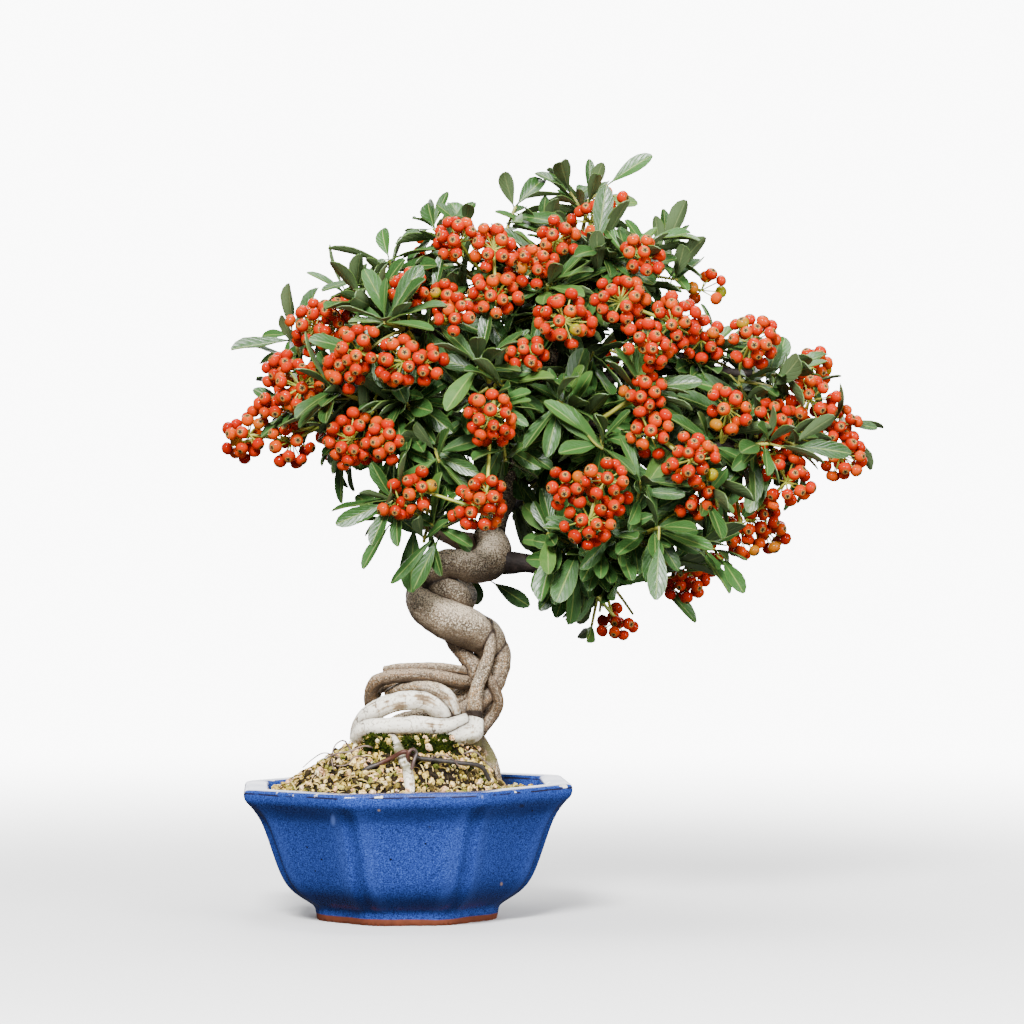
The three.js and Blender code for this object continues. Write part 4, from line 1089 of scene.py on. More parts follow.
def cut_upright(piece, mesh, cuts):
    """Cuts the upright edges of a piece of unit length in edit mode, and gives its mesh again."""
    bpy.ops.mesh.select_all(action="DESELECT")
    for edge in mesh.edges:
        if abs(edge.verts[0].co.z - edge.verts[1].co.z) > 0.5:
            edge.select = True
    bmesh.update_edit_mesh(piece.data)
    bpy.ops.mesh.subdivide(number_cuts=cuts)
    return bmesh.from_edit_mesh(piece.data)


class Surface:
    """A CAD node's faces, to scatter things on evenly."""

    def __init__(self, node):
        mesh = node.data
        self.faces = [([mesh.vertices[i].co.copy() for i in face.vertices[:3]], face.normal.copy())
                      for face in mesh.polygons]
        self.areas = np.cumsum([face.area for face in mesh.polygons])

    def spot(self, dice):
        """A place and its normal."""
        corners, normal = self.faces[int(np.searchsorted(self.areas, dice.chance() * self.areas[-1]))]
        first, second = math.sqrt(dice.chance()), dice.chance()
        shares = (1 - first, first * (1 - second), first * second)
        return sum((corner * share for corner, share in zip(corners, shares)), Vector()), normal


def forget(patterns):
    for pattern in patterns:
        bpy.data.objects.remove(pattern)


# Finishes.
class Value:
    """A shader socket that takes part in written sums: each operation adds its Math node."""

    def __init__(self, finish, socket):
        self.finish = finish
        self.socket = socket

    def sum(self, operation, *values):
        return self.finish.node("ShaderNodeMath", {"operation": operation}, dict(enumerate(values)))

    def __add__(self, other):
        return self.sum("ADD", self, other)

    def __sub__(self, other):
        return self.sum("SUBTRACT", self, other)

    def __rsub__(self, other):
        return self.sum("SUBTRACT", other, self)

    def __mul__(self, other):
        return self.sum("MULTIPLY", self, other)

    def __truediv__(self, other):
        return self.sum("DIVIDE", self, other)

    def __pow__(self, other):
        return self.sum("POWER", self, other)

    __radd__ = __add__
    __rmul__ = __mul__

    def clamped(self):
        return self.finish.node("ShaderNodeClamp", {}, {0: self})

    def size(self):
        return self.sum("ABSOLUTE", self)

    def wave(self):
        return self.sum("SINE", self)


class Finish:
    """A material, built from its shader outwards."""

    def __init__(self, name, **constants):
        self.material = bpy.data.materials.new(name)
        self.material.use_nodes = True
        self.tree = self.material.node_tree
        self.shader = self.tree.nodes["Principled BSDF"]
        for key, value in constants.items():
            self.shader.inputs[key.replace("_", " ")].default_value = value

    def node(self, kind, settings, inputs, output=0):
        """A node of one kind, with its settings, its sockets' values or links, and its output."""
        made = self.tree.nodes.new(kind)
        for key, value in settings.items():
            if key == "stops":
                ramp = made.color_ramp
                while len(ramp.elements) < len(value):
                    ramp.elements.new(1)
                for element, (position, colour) in zip(ramp.elements, value):
                    element.position = position
                    element.color = (*colour, 1)
            else:
                setattr(made, key, value)
        for key, value in inputs.items():
            if isinstance(value, Value):
                self.tree.links.new(value.socket, made.inputs[key])
            else:
                made.inputs[key].default_value = value
        return Value(self, made.outputs[output])

    def place(self):
        return self.node("ShaderNodeTexCoord", {}, {}, "Object")

    def axes(self, vector=None):
        """The three parts of a vector, or of the place on the object."""
        vector = vector or self.place()
        split = self.node("ShaderNodeSeparateXYZ", {}, {0: vector})
        return [Value(self, split.socket.node.outputs[i]) for i in range(3)]

    def attribute(self, name):
        return self.node("ShaderNodeAttribute", {"attribute_name": name}, {}, "Fac")

    def grain(self, stretch):
        """Places on a strand, in millimetres round it and along it, with the length squeezed."""
        along_it = self.node("ShaderNodeAttribute", {"attribute_name": "grain"}, {}, "Vector")
        settings = {"operation": "MULTIPLY"}
        return self.node("ShaderNodeVectorMath", settings, {0: along_it, 1: (1, 1, stretch)})

    def chart(self):
        """The two places on the piece's UV map."""
        return self.axes(self.node("ShaderNodeUVMap", {"uv_map": "UVMap"}, {}))[:2]

    def noise(self, scale, detail=2, vector=None, roughness=0.5):
        inputs = {"Vector": vector or self.place(), "Scale": scale, "Detail": detail, "Roughness": roughness}
        return self.node("ShaderNodeTexNoise", {}, inputs, "Fac")

    def cells(self, scale):
        """How far a point is from the nearest of many scattered ones."""
        return self.node("ShaderNodeTexVoronoi", {}, {"Vector": self.place(), "Scale": scale})

    def step(self, value, low, high, start=0.0, end=1.0):
        """A smooth rise from start to end as the value goes from low to high."""
        settings = {"interpolation_type": "SMOOTHSTEP"}
        inputs = {"Value": value, "From Min": low, "From Max": high, "To Min": start, "To Max": end}
        return self.node("ShaderNodeMapRange", settings, inputs)

    def band(self, value, low, rise, fall, high):
        """A smooth rise from low to rise, and a fall back from fall to high."""
        return self.step(value, low, rise) * (1 - self.step(value, fall, high))

    def mix(self, factor, one, other, blend="MIX"):
        settings = {"data_type": "RGBA", "blend_type": blend}
        colours = [value if isinstance(value, Value) else (*value, 1) for value in (one, other)]
        return self.node("ShaderNodeMix", settings, {0: factor, 6: colours[0], 7: colours[1]}, 2)

    def ramp(self, value, stops):
        return self.node("ShaderNodeValToRGB", {"stops": stops}, {0: value})

    def bump(self, height, distance, strength=1.0):
        inputs = {"Height": height, "Distance": distance, "Strength": strength}
        self.feed("Normal", self.node("ShaderNodeBump", {}, inputs))

    def feed(self, name, value):
        """Links a value to one of the shader's own sockets."""
        self.tree.links.new(value.socket, self.shader.inputs[name])


def scaled(colour, share):
    return tuple(min(1.0, part * share) for part in colour)


# Bands of height on the pot in metres: where each starts, is full, starts to fade and ends.
# The lip and waist bands are painted shade: under the overhanging lip, and on the flare above the foot, which
# faces down.
LIP_SHADE = (0.052, 0.0565, 0.058, 0.0625)
WAIST_SHADE = (0.0055, 0.0095, 0.013, 0.025)
WORN_ARRIS = (0.0663, 0.0666, 0.0671, 0.0674)
# The same for the damp green on the roots, by height, and for the rust on the wire, from left to right.
DAMP_ROOTS = (0.074, 0.081, 0.090, 0.095)
RUSTED_WIRE = (-0.016, -0.008, 0.002, 0.008)

# Stops of the ramps, each a position and a colour.
GRANULE_STOPS = [
    (0.0, (0.010, 0.007, 0.004)), (0.2, (0.05, 0.034, 0.010)), (0.3, (0.28, 0.21, 0.035)),
    (0.42, (0.70, 0.50, 0.11)), (0.56, (1.0, 0.76, 0.29)), (0.68, (0.98, 0.54, 0.30)),
    (0.8, (1.0, 0.88, 0.56)), (0.9, (0.60, 0.50, 0.09)), (1.0, (0.08, 0.11, 0.010)),
]
STRAW_STOPS = [
    (0.0, (0.010, 0.008, 0.004)), (0.3, (0.05, 0.035, 0.012)), (0.55, (0.50, 0.34, 0.09)),
    (0.8, (0.72, 0.56, 0.20)), (1.0, (0.12, 0.15, 0.015)),
]
# The bed is dark soil, made near black as painted shade in the gaps between the granules.
BED_STOPS = [(0.0, (0.035, 0.024, 0.013)), (0.5, (0.012, 0.008, 0.005)), (1.0, (0.003, 0.002, 0.0015))]
MOSS_STOPS = [(0.4, (0.003, 0.005, 0.001)), (0.5, (0.010, 0.019, 0.002)), (0.6, (0.048, 0.060, 0.006))]
ROOTLET_STOPS = [(0.35, (0.06, 0.035, 0.03)), (0.6, (0.20, 0.14, 0.11))]
TWIG_STOPS = [(0.35, (0.10, 0.12, 0.02)), (0.65, (0.36, 0.34, 0.05))]
STALK_STOPS = [(0.35, (0.22, 0.28, 0.03)), (0.65, (0.50, 0.48, 0.07))]

# Single colours beside those of the settings.
GLAZE_GRAIN = (0.042, 0.094, 0.38)
LIP_GLAZE = (0.022, 0.08, 0.36)
RIDGE_GLAZE = (0.05, 0.095, 0.35)
ARRIS_BROWN = (0.014, 0.009, 0.008)
BARE_CHIP = (0.85, 0.82, 0.76)
GLAZE_PIT = (0.004, 0.005, 0.012)
GRANULE_DIRT = (0.20, 0.13, 0.04)
WIRE_DARK = (0.018, 0.017, 0.016)
WIRE_WORN = (0.07, 0.06, 0.055)
WIRE_RUST = (0.085, 0.032, 0.022)
BARK_OCHRE = (0.40, 0.22, 0.08)
# Painted light on the bark's upper sides.
BARK_TOP_LIGHT = (0.92, 0.75, 0.54)
BARK_PALE_FLECK = (0.80, 0.68, 0.50)
BARK_DARK_FLECK = (0.04, 0.027, 0.016)
# Painted shade on the bark's undersides.
BARK_UNDER_SHADE = (0.065, 0.039, 0.018)
BARK_SOOT = (0.42, 0.37, 0.33)
ROOT_DARK = (0.15, 0.10, 0.055)
ROOT_BROWN = (0.42, 0.31, 0.19)
ROOT_FLECK = (0.30, 0.20, 0.11)
# Painted shade on the undersides of the pale roots.
ROOT_UNDER_SHADE = (0.26, 0.18, 0.10)
ROOT_CRACK = (0.09, 0.055, 0.03)
DAMP_GREEN = (0.10, 0.095, 0.025)
# Painted shade in the seams where strands lie close, and its darkest part.
CREASE_SHADE_BROWN = (0.07, 0.042, 0.022)
CREASE_SHADE_DARK = (0.022, 0.013, 0.008)
LIMB_BROWN = (0.17, 0.12, 0.085)
LEAF_YELLOWED = (0.09, 0.15, 0.022)
LEAF_RIB = (0.20, 0.27, 0.06)
LEAF_RIB_UNDER = (0.22, 0.28, 0.10)
LEAF_EDGE = (0.13, 0.19, 0.04)
BERRY_ORANGE = (0.42, 0.0185, 0.0003)
BERRY_UNRIPE = (0.16, 0.21, 0.008)
BERRY_RIM = (0.28, 0.18, 0.04)
BERRY_EYE = (0.018, 0.014, 0.01)

# Single marks on the pot's front: where, how wide and tall in metres, and the colour. The first is a painted
# highlight where a glaze drip catches the light; the rest are marks in the glaze.
GLAZE_MARKS = [
    # Painted highlight on a glaze drip.
    (-0.0337, 0.0552, 0.0015, 0.0034, (0.10, 0.17, 0.50)),
    (0.0591, 0.0607, 0.0016, 0.0012, (0.012, 0.015, 0.03)),
    (-0.0108, 0.0607, 0.0009, 0.0008, (0.40, 0.30, 0.20)),
    (0.0138, 0.0519, 0.0009, 0.0009, (0.01, 0.01, 0.015)),
    (0.0489, 0.0204, 0.0008, 0.0012, (0.34, 0.22, 0.13)),
]


def glaze_finish(settings):
    """Blue glaze, speckled, with painted shade under the lip and at the waist, darker where it pooled at
    random, thin on the lip's arris.
    """
    finish = Finish("blue_glaze", Specular_IOR_Level=0.4)
    blue = tuple(settings.glaze)
    x, y, z = finish.axes()
    level = z - x * RIM_RISE
    pool = finish.noise(28, 3)
    speckle = finish.noise(1700, 1, roughness=0.6)
    coarse = finish.noise(700, 2)
    stops = [(0.37, scaled(blue, 0.35)), (0.5, blue), (0.67, GLAZE_GRAIN)]
    grains = finish.ramp(speckle * 0.85 + coarse * 0.15, stops)
    # Painted shade under the lip and at the waist, plus darker glaze where it pooled at random.
    painted_shade_and_pooling = (finish.band(level, *LIP_SHADE) + finish.band(level, *WAIST_SHADE)) * 0.5
    painted_shade_and_pooling = painted_shade_and_pooling + finish.step(pool, 0.45, 0.7) * 0.2
    body = finish.mix(painted_shade_and_pooling.clamped(), grains, scaled(blue, 0.38))
    lip = finish.step(level, 0.0625, 0.0655)
    body = finish.mix(lip * 0.1, body, LIP_GLAZE)
    ridge = finish.attribute("ridge")
    # Lighter on the flutes' ridges and darker in their grooves.
    body = finish.mix(finish.step(ridge, 0.05, 0.35) * 0.16, body, RIDGE_GLAZE)
    body = finish.mix((1 - finish.step(ridge, -0.8, -0.1)) * 0.3, body, scaled(blue, 0.4))
    wandering = level + (finish.noise(45, 2) - 0.5) * 0.0009
    worn = finish.band(wandering, *WORN_ARRIS) * finish.step(finish.noise(90, 3), 0.4, 0.5)
    body = finish.mix(worn * 0.9, body, ARRIS_BROWN)
    chips = finish.step(wandering, 0.0668, 0.0671) * (1 - finish.step(level, 0.0684, 0.0687))
    chips = chips * finish.step(finish.noise(75, 3), 0.63, 0.66)
    body = finish.mix(chips, body, BARE_CHIP)
    body = finish.mix(1 - finish.step(finish.cells(70), 0.035, 0.05), body, GLAZE_PIT)
    for across, up, wide, tall, colour in GLAZE_MARKS:
        away = (((x - across) / wide) ** 2 + ((z - up) / tall) ** 2) ** 0.5
        mark = (1 - finish.step(away, 0.3, 1.2)) * (1 - finish.step(y, -0.01, 0.0))
        body = finish.mix(mark * 0.7, body, colour)
    wavy = z + (finish.noise(60, 1) - 0.5) * 0.0012
    bare = 1 - finish.step(wavy, settings.bare_foot, settings.bare_foot + 0.0005)
    clay = finish.mix(finish.noise(300, 3), scaled(settings.clay, 0.7), scaled(settings.clay, 1.8))
    finish.feed("Base Color", finish.mix(bare, body, clay))
    finish.feed("Roughness", (bare * 0.6 + 0.12 + finish.step(pool, 0.3, 0.7) * 0.1).clamped())
    finish.bump(finish.noise(45, 2) + speckle * 0.05, 0.0007, 0.25)
    return finish.material


def granule_finish():
    """Grains of many colours, with dirt between them."""
    finish = Finish("soil_granules", Roughness=0.9, Specular_IOR_Level=0.2)
    base = finish.ramp(finish.attribute("tint"), GRANULE_STOPS)
    dirt = finish.noise(900, 3)
    base = finish.mix(finish.step(dirt, 0.42, 0.64) * 0.9, base, GRANULE_DIRT, "MULTIPLY")
    finish.feed("Base Color", base)
    finish.bump(dirt, 0.0004, 0.7)
    return finish.material


def litter_finish():
    """Straw, dry rootlets and dead moss."""
    finish = Finish("soil_litter", Roughness=0.85, Specular_IOR_Level=0.2)
    finish.feed("Base Color", finish.ramp(finish.attribute("tint"), STRAW_STOPS))
    finish.bump(finish.noise(900, 2), 0.0002, 0.5)
    return finish.material


def bed_finish():
    """Dark crumbs under the granules, made near black as painted shade in the gaps between them."""
    finish = Finish("soil_bed", Roughness=1.0, Specular_IOR_Level=0.1)
    crumbs = finish.cells(420)
    finish.feed("Base Color", finish.ramp(crumbs, BED_STOPS))
    finish.bump(1 - crumbs, 0.0012, 1.0)
    return finish.material


def moss_finish():
    """Dull moss, mottled in two sizes."""
    finish = Finish("moss", Roughness=1.0, Specular_IOR_Level=0.05)
    tint = finish.noise(230, 3) * 0.6 + finish.noise(1000, 2) * 0.4
    finish.feed("Base Color", finish.ramp(tint, MOSS_STOPS))
    finish.bump(finish.noise(1200, 3), 0.0006, 0.9)
    return finish.material


def wire_finish():
    """Dark worn wire, rusted in the middle."""
    finish = Finish("wire", Metallic=0.35, Roughness=0.45)
    rust = finish.band(finish.axes()[0], *RUSTED_WIRE)
    worn = finish.noise(350, 4)
    finish.feed("Base Color", finish.mix(rust, finish.mix(worn, WIRE_DARK, WIRE_WORN), WIRE_RUST))
    finish.feed("Roughness", finish.step(worn, 0.3, 0.7, 0.35, 0.6))
    return finish.material


def mottled_finish(name, roughness, scale, stops):
    """Rootlets, twigs and stalks: a smooth skin mottled in the colours of the stops."""
    finish = Finish(name, Roughness=roughness)
    finish.feed("Base Color", finish.ramp(finish.noise(scale, 2), stops))
    return finish.material


def bark_finish(settings):
    """Brown bark with fine pale and dark flecks, streaked and bleached on the roots, with painted light on
    the tops and painted shade on the undersides and in the creases.
    """
    finish = Finish("bark", Roughness=0.55, Specular_IOR_Level=0.35)
    z = finish.axes()[2]
    bark = tuple(settings.bark)
    pale = tuple(settings.bare_root)
    upward = finish.attribute("upward")
    bleach = finish.attribute("bleach")
    crease = finish.attribute("crease")
    streak = finish.noise(0.55, 3, finish.grain(0.12))
    # Painted light on faces that look up and painted shade on those that look down, with fewer pale flecks in
    # the painted shade.
    under = 1 - finish.step(upward, -0.75, 0.05)
    painted_light_above = finish.step(upward, 0.1, 0.85)
    flecks = finish.step(finish.noise(1400, 2, roughness=0.7), 0.51, 0.56)
    lights = finish.step(finish.noise(1150, 2), 0.51, 0.57)

    broad = finish.noise(75, 4) * 0.6 + streak * 0.4
    base = finish.ramp(broad, [(0.36, scaled(bark, 0.55)), (0.48, bark), (0.62, scaled(bark, 1.6))])
    low = 1 - finish.step(z, 0.128, 0.14)
    base = finish.mix(finish.step(streak, 0.46, 0.58) * low * 0.6, base, BARK_OCHRE)
    base = finish.mix(painted_light_above * 0.65, base, BARK_TOP_LIGHT)
    base = finish.mix(lights * (0.6 + painted_light_above * 0.15 - under * 0.4), base, BARK_PALE_FLECK)
    base = finish.mix(flecks * 0.8, base, BARK_DARK_FLECK)
    base = finish.mix(under * 0.68, base, BARK_UNDER_SHADE)
    base = finish.mix((1 - finish.step(bleach, -0.55, 0.0)) * 0.8, base, BARK_SOOT, "MULTIPLY")

    stains = finish.noise(190, 4) * 0.55 + streak * 0.45 + (bleach - 1) * 0.1
    stops = [(0.35, ROOT_DARK), (0.40, ROOT_BROWN), (0.45, scaled(pale, 0.88)), (0.51, pale)]
    root = finish.ramp(stains, stops)
    root = finish.mix(finish.step(finish.noise(800, 3), 0.55, 0.64) * 0.55, root, ROOT_FLECK)
    # Painted shade on the roots' undersides.
    root = finish.mix(under * 0.4, root, ROOT_UNDER_SHADE)
    along = finish.axes(finish.grain(1))[2]
    rings = (along * 0.45 + finish.noise(110, 2) * 9).wave().size()
    cracks = (1 - finish.step(rings, 0.03, 0.14)) * finish.step(finish.noise(70, 1), 0.48, 0.53)
    root = finish.mix(cracks * 0.85, root, ROOT_CRACK)

    bleached = finish.step(bleach + (finish.noise(130, 3) - 0.5) * 0.7, 0.28, 0.62)
    wood = finish.mix(bleached, base, root)
    green = finish.step(finish.noise(150, 3), 0.38, 0.52) * finish.band(z, *DAMP_ROOTS)
    wood = finish.mix(green * 0.85, wood, DAMP_GREEN)
    # Painted shade in the seams between strands, darkest where they touch.
    wood = finish.mix(crease * 0.55, wood, CREASE_SHADE_BROWN)
    finish.feed("Base Color", finish.mix(finish.step(crease, 0.78, 0.98), wood, CREASE_SHADE_DARK))
    relief = finish.noise(420, 4) + streak * 0.5 - flecks * 0.3 - cracks * bleached
    finish.bump(relief, 0.0007, 0.7)
    return finish.material


def branch_finish(settings):
    """Dark young bark, brown where the low limbs leave the trunk."""
    finish = Finish("branch_bark", Roughness=0.7, Specular_IOR_Level=0.3)
    x, _, z = finish.axes()
    branch = tuple(settings.branch)
    stops = [(0.3, scaled(branch, 0.5)), (0.55, branch), (0.8, scaled(branch, 2.6))]
    dark = finish.ramp(finish.noise(240, 4), stops)
    brown = (1 - finish.step(x, 0.036, 0.05)) * (1 - finish.step(z, 0.2, 0.212))
    finish.feed("Base Color", finish.mix(brown, dark, LIMB_BROWN))
    finish.bump(finish.noise(500, 4), 0.0006, 0.8)
    return finish.material


def leaf_finish(settings):
    """A glossy upper side with rib, veins and a pale edge, and a dull underside."""
    finish = Finish("leaf", Specular_IOR_Level=0.44)
    across, along = finish.chart()
    upper = tuple(settings.upper)
    tint = finish.attribute("tint")
    from_rib = (across - 0.5).size()
    rib = 1 - finish.step(from_rib, 0.02, 0.055)
    veins = ((along * 46 - from_rib * 34).wave() * 0.5 + 0.5) ** 6
    mottle = finish.noise(260, 3)
    stops = [(0.0, scaled(upper, 0.65)), (0.5, upper), (0.84, scaled(upper, 1.55)), (1.0, LEAF_YELLOWED)]
    glossy = finish.ramp(tint * 0.85 + mottle * 0.15, stops)
    net = finish.noise(1500, 2)
    glossy = finish.mix(finish.step(net, 0.5, 0.62) * 0.3, glossy, scaled(upper, 2.2))
    glossy = finish.mix(veins * 0.14, glossy, scaled(upper, 2.6))
    glossy = finish.mix(rib * 0.65, glossy, LEAF_RIB)
    dull = finish.mix(rib * 0.5, tuple(settings.under), LEAF_RIB_UNDER)
    edge = finish.step(from_rib, 0.455, 0.49)
    glossy = finish.mix(edge * 0.45, glossy, LEAF_EDGE)
    under = finish.attribute("under")
    finish.feed("Base Color", finish.mix(under, glossy, dull))
    finish.feed("Roughness", finish.step(mottle, 0.3, 0.7, 0.29, 0.44) + under * 0.25)
    finish.bump(veins * 0.6 + rib * 1.0 + mottle * 0.4 + net * 0.3, 0.00025, 0.5)
    return finish.material


def berry_finish(settings):
    """Skin from green over orange to red, with painted light in orange over its outer half, a dark star and a
    dry rim round the eye.
    """
    finish = Finish("berry", Specular_IOR_Level=0.15)
    around, up = finish.chart()
    tint = finish.attribute("tint")
    ripe, turning = tuple(settings.ripe), tuple(settings.turning)
    stops = [(0.0, scaled(ripe, 0.6)), (0.3, ripe), (0.7, BERRY_ORANGE), (0.92, turning), (0.975, turning),
             (1.0, BERRY_UNRIPE)]
    skin = finish.ramp(tint, stops)
    # Painted light: the berry's outward half is mixed towards the orange of a turning berry.
    painted_light = finish.step(up, 0.5, 0.9)
    skin = finish.mix(painted_light * 0.4, skin, turning)
    fall = 1 - up
    star = 0.092 + (around * (5 * math.tau)).wave() * 0.036
    ring = 1 - finish.step(fall, 0.14, 0.175)
    skin = finish.mix(ring * 0.85, skin, BERRY_RIM)
    dark = 1 - finish.step(fall - star, -0.012, 0.012)
    skin = finish.mix(dark, skin, BERRY_EYE)
    finish.feed("Base Color", skin)
    finish.feed("Roughness", finish.step(ring, 0, 1, 0.1, 0.7))
    finish.bump(finish.noise(700, 2) * 0.25 - dark * 1.0, 0.0003, 0.5)
    return finish.material


def floor_finish(settings):
    """A pale floor that fades into the backdrop."""
    finish = Finish("floor", Roughness=0.8, Specular_IOR_Level=0.1)
    x, y, _ = finish.axes()
    away = (x * x + y * y) ** 0.5
    finish.feed("Alpha", 1 - finish.step(away, *FLOOR_FADE))
    finish.shader.inputs["Base Color"].default_value = (*settings.floor, 1)
    return finish.material


# The pot.
def octagon_point(i, half, flute, height):
    """Point i of a ring on the pot's octagon: seven points model the flute at each corner."""
    corner, step = divmod(i, len(FLUTE_ACROSS))
    turn = POT_TURN + corner * FACE_TURN + FACE_TURN / 2
    facing = turn + math.copysign(FACE_TURN / 2, FLUTE_ACROSS[step])
    along = half * math.tan(FACE_TURN / 2) - abs(FLUTE_ACROSS[step])
    out = Vector((half, -math.copysign(along, FLUTE_ACROSS[step])))
    out.rotate(Matrix.Rotation(facing, 2))
    inward = Vector((math.cos(turn), math.sin(turn))) * (FLUTE_DEPTH * flute * FLUTE_IN[step])
    out -= inward
    rise = RIM_RISE * out.x * (height / RIM_HEIGHT) ** 2
    return Vector((out.x, out.y, height + rise)) * MM


def set_ring(ring, row):
    """Puts the ring's vertices on the octagon of a row."""
    height, half, flute = row
    for i, vertex in enumerate(ring):
        vertex.co = octagon_point(i, half, flute, height)


def model_pot():
    """The pot's wall is drawn up from its foot ring by ring, over the lip and down inside."""
    pot = added(bpy.ops.mesh.primitive_circle_add, "glazed_pot", vertices=RING, fill_type="NGON",
                radius=POT_OUTSIDE[0][1] * MM)
    with edit_mode(pot) as mesh:
        mesh.verts.ensure_lookup_table()
        set_ring(mesh.verts[:RING], POT_ROWS[0])
        bmesh.update_edit_mesh(pot.data)
        for row in POT_ROWS[1:]:
            bpy.ops.mesh.extrude_region_move(TRANSFORM_OT_translate={"value": (0, 0, MM)})
            mesh = bmesh.from_edit_mesh(pot.data)
            ring = [vertex for vertex in mesh.verts if vertex.select]
            ring.sort(key=lambda vertex: vertex.index)
            set_ring(ring, row)
            bmesh.update_edit_mesh(pot.data)
    return pot


def make_pot(settings):
    """The glazed pot with its two drain holes."""
    pot = model_pot()
    add_values(pot, "ridge", "POINT", [-part * flute for _, _, flute in POT_ROWS for part in FLUTE_IN * 8])
    with edit_mode(pot) as mesh:
        crease = mesh.edges.layers.float.get("crease_edge") or mesh.edges.layers.float.new("crease_edge")
        for edge in mesh.edges:
            if max(vertex.co.z for vertex in edge.verts) < CREASED_BELOW:
                edge[crease] = FOOT_CREASE
        bpy.ops.mesh.select_all(action="SELECT")
        bpy.ops.mesh.normals_make_consistent(inside=False)
    finish_with(pot, "SUBSURF", levels=2, render_levels=2)
    for x in (-DRAIN_OFFSET, DRAIN_OFFSET):
        hole = added(bpy.ops.mesh.primitive_cylinder_add, "drain_hole", vertices=32, radius=DRAIN_RADIUS * MM,
                     depth=DRAIN_DEPTH * MM, location=(x * MM, 0, 0))
        finish_with(pot, "BOOLEAN", object=hole, operation="DIFFERENCE", solver="EXACT")
        bpy.data.objects.remove(hole)
    smooth(pot, 40)
    dress(pot, glaze_finish(settings), "blue_glaze", "pot")


# Soil, moss, wire and fine roots.
GRANULE_KINDS = 4
BATCH = 250
SOIL_EDGE = 62 * MM
LITTER_EDGE = 64 * MM
SIDES_FINE = 6
SIDES_WIRE = 10
EVERY_FINE = 1.5


def model_granules():
    """Rough granules of unit size."""
    patterns = []
    for k in range(GRANULE_KINDS):
        granule = added(bpy.ops.mesh.primitive_ico_sphere_add, f"granule_{k}", subdivisions=1, radius=0.5)
        dice = Dice(FIRST_SEED + k)
        with edit_mode(granule) as mesh:
            bpy.ops.mesh.select_all(action="SELECT")
            bpy.ops.transform.resize(value=(1.0, dice.between(0.75, 1.0), dice.between(0.6, 0.9)))
            for vertex in mesh.verts:
                vertex.co *= dice.between(0.82, 1.15)
        add_tint(granule)
        patterns.append(granule)
    return patterns


def granule_batch(name, ground, patterns, count, size, least_height, dice):
    """Granules of mixed size and colour, scattered over a surface."""
    batches = []
    batch = []
    made = 0
    while made < count:
        spot, normal = ground.spot(dice)
        width = size * (0.42 + 1.5 * dice.chance() ** 2.1)
        if normal.z < -0.1 or spot.z < least_height:
            continue
        matrix = Matrix.Translation(spot + normal * (width * dice.between(-0.15, 0.3)))
        for axis in "XYZ":
            matrix @= Matrix.Rotation(dice.between(0, math.tau), 4, axis)
        pattern = patterns[int(dice.chance() * len(patterns))]
        batch.append(copy_of(pattern, matrix @ Matrix.Scale(width, 4), dice.chance()))
        made += 1
        if len(batch) == BATCH or made == count:
            batches.append(joined(f"{name}_{len(batches)}", batch))
            batch = []
    return batches


def make_soil(settings):
    """Loose granules on the mound, and a few on the moss."""
    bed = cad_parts["soil_mound"]
    coat(bed, bed_finish())
    patterns = model_granules()
    dice = Dice(FIRST_SEED)
    size = settings.granule_size
    batches = granule_batch("mound", Surface(bed), patterns, settings.granules, size, SOIL_EDGE, dice)
    cushion = Surface(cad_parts["moss_cushion"])
    batches += granule_batch("cushion", cushion, patterns, settings.granules // 50, size, 0, dice)
    granules = joined("soil_granules", batches)
    forget(patterns)
    dress(granules, granule_finish(), "soil")


def model_straw():
    """A bent straw of unit length, thin at both ends."""
    straw = added(bpy.ops.mesh.primitive_cylinder_add, "straw", vertices=5, radius=0.045, depth=1)
    with edit_mode(straw) as mesh:
        for vertex in cut_upright(straw, mesh, 3).verts:
            along = 2 * vertex.co.z
            vertex.co.xy *= 1 - 0.6 * along ** 2
            vertex.co.x += 0.16 * (1 - along ** 2)
    add_tint(straw)
    return straw


def make_litter(settings):
    """Straws that lie between the granules."""
    ground = Surface(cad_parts["soil_mound"])
    straw = model_straw()
    dice = Dice(FIRST_SEED + 9)
    parts = []
    while len(parts) < settings.straws:
        spot, normal = ground.spot(dice)
        way = Vector([dice.between(-1, 1) for _ in range(3)])
        length = settings.granule_size * dice.between(1.2, 3.4)
        if normal.z < 0 or spot.z < LITTER_EDGE:
            continue
        lie = (way - way.project(normal) * 0.85).to_track_quat("Z", "X").to_matrix().to_4x4()
        lift = normal * settings.granule_size * dice.between(0.1, 0.55)
        matrix = Matrix.Translation(spot + lift) @ lie @ Matrix.Scale(length, 4)
        parts.append(copy_of(straw, matrix, dice.chance()))
    litter = joined("soil_litter", parts)
    forget([straw])
    smooth(litter)
    dress(litter, litter_finish(), "soil")


def model_tuft():
    """A moss tuft: a cone drawn out of a small foot, leaning a little."""
    tuft = added(bpy.ops.mesh.primitive_cone_add, "tuft", vertices=5, radius1=0.22, radius2=0.03, depth=1,
                 location=(0, 0, 0.5))
    bpy.ops.object.transform_apply(location=True)
    with edit_mode(tuft) as mesh:
        for vertex in cut_upright(tuft, mesh, 1).verts:
            if 0.2 < vertex.co.z < 0.8:
                vertex.co.x += 0.12
    return tuft


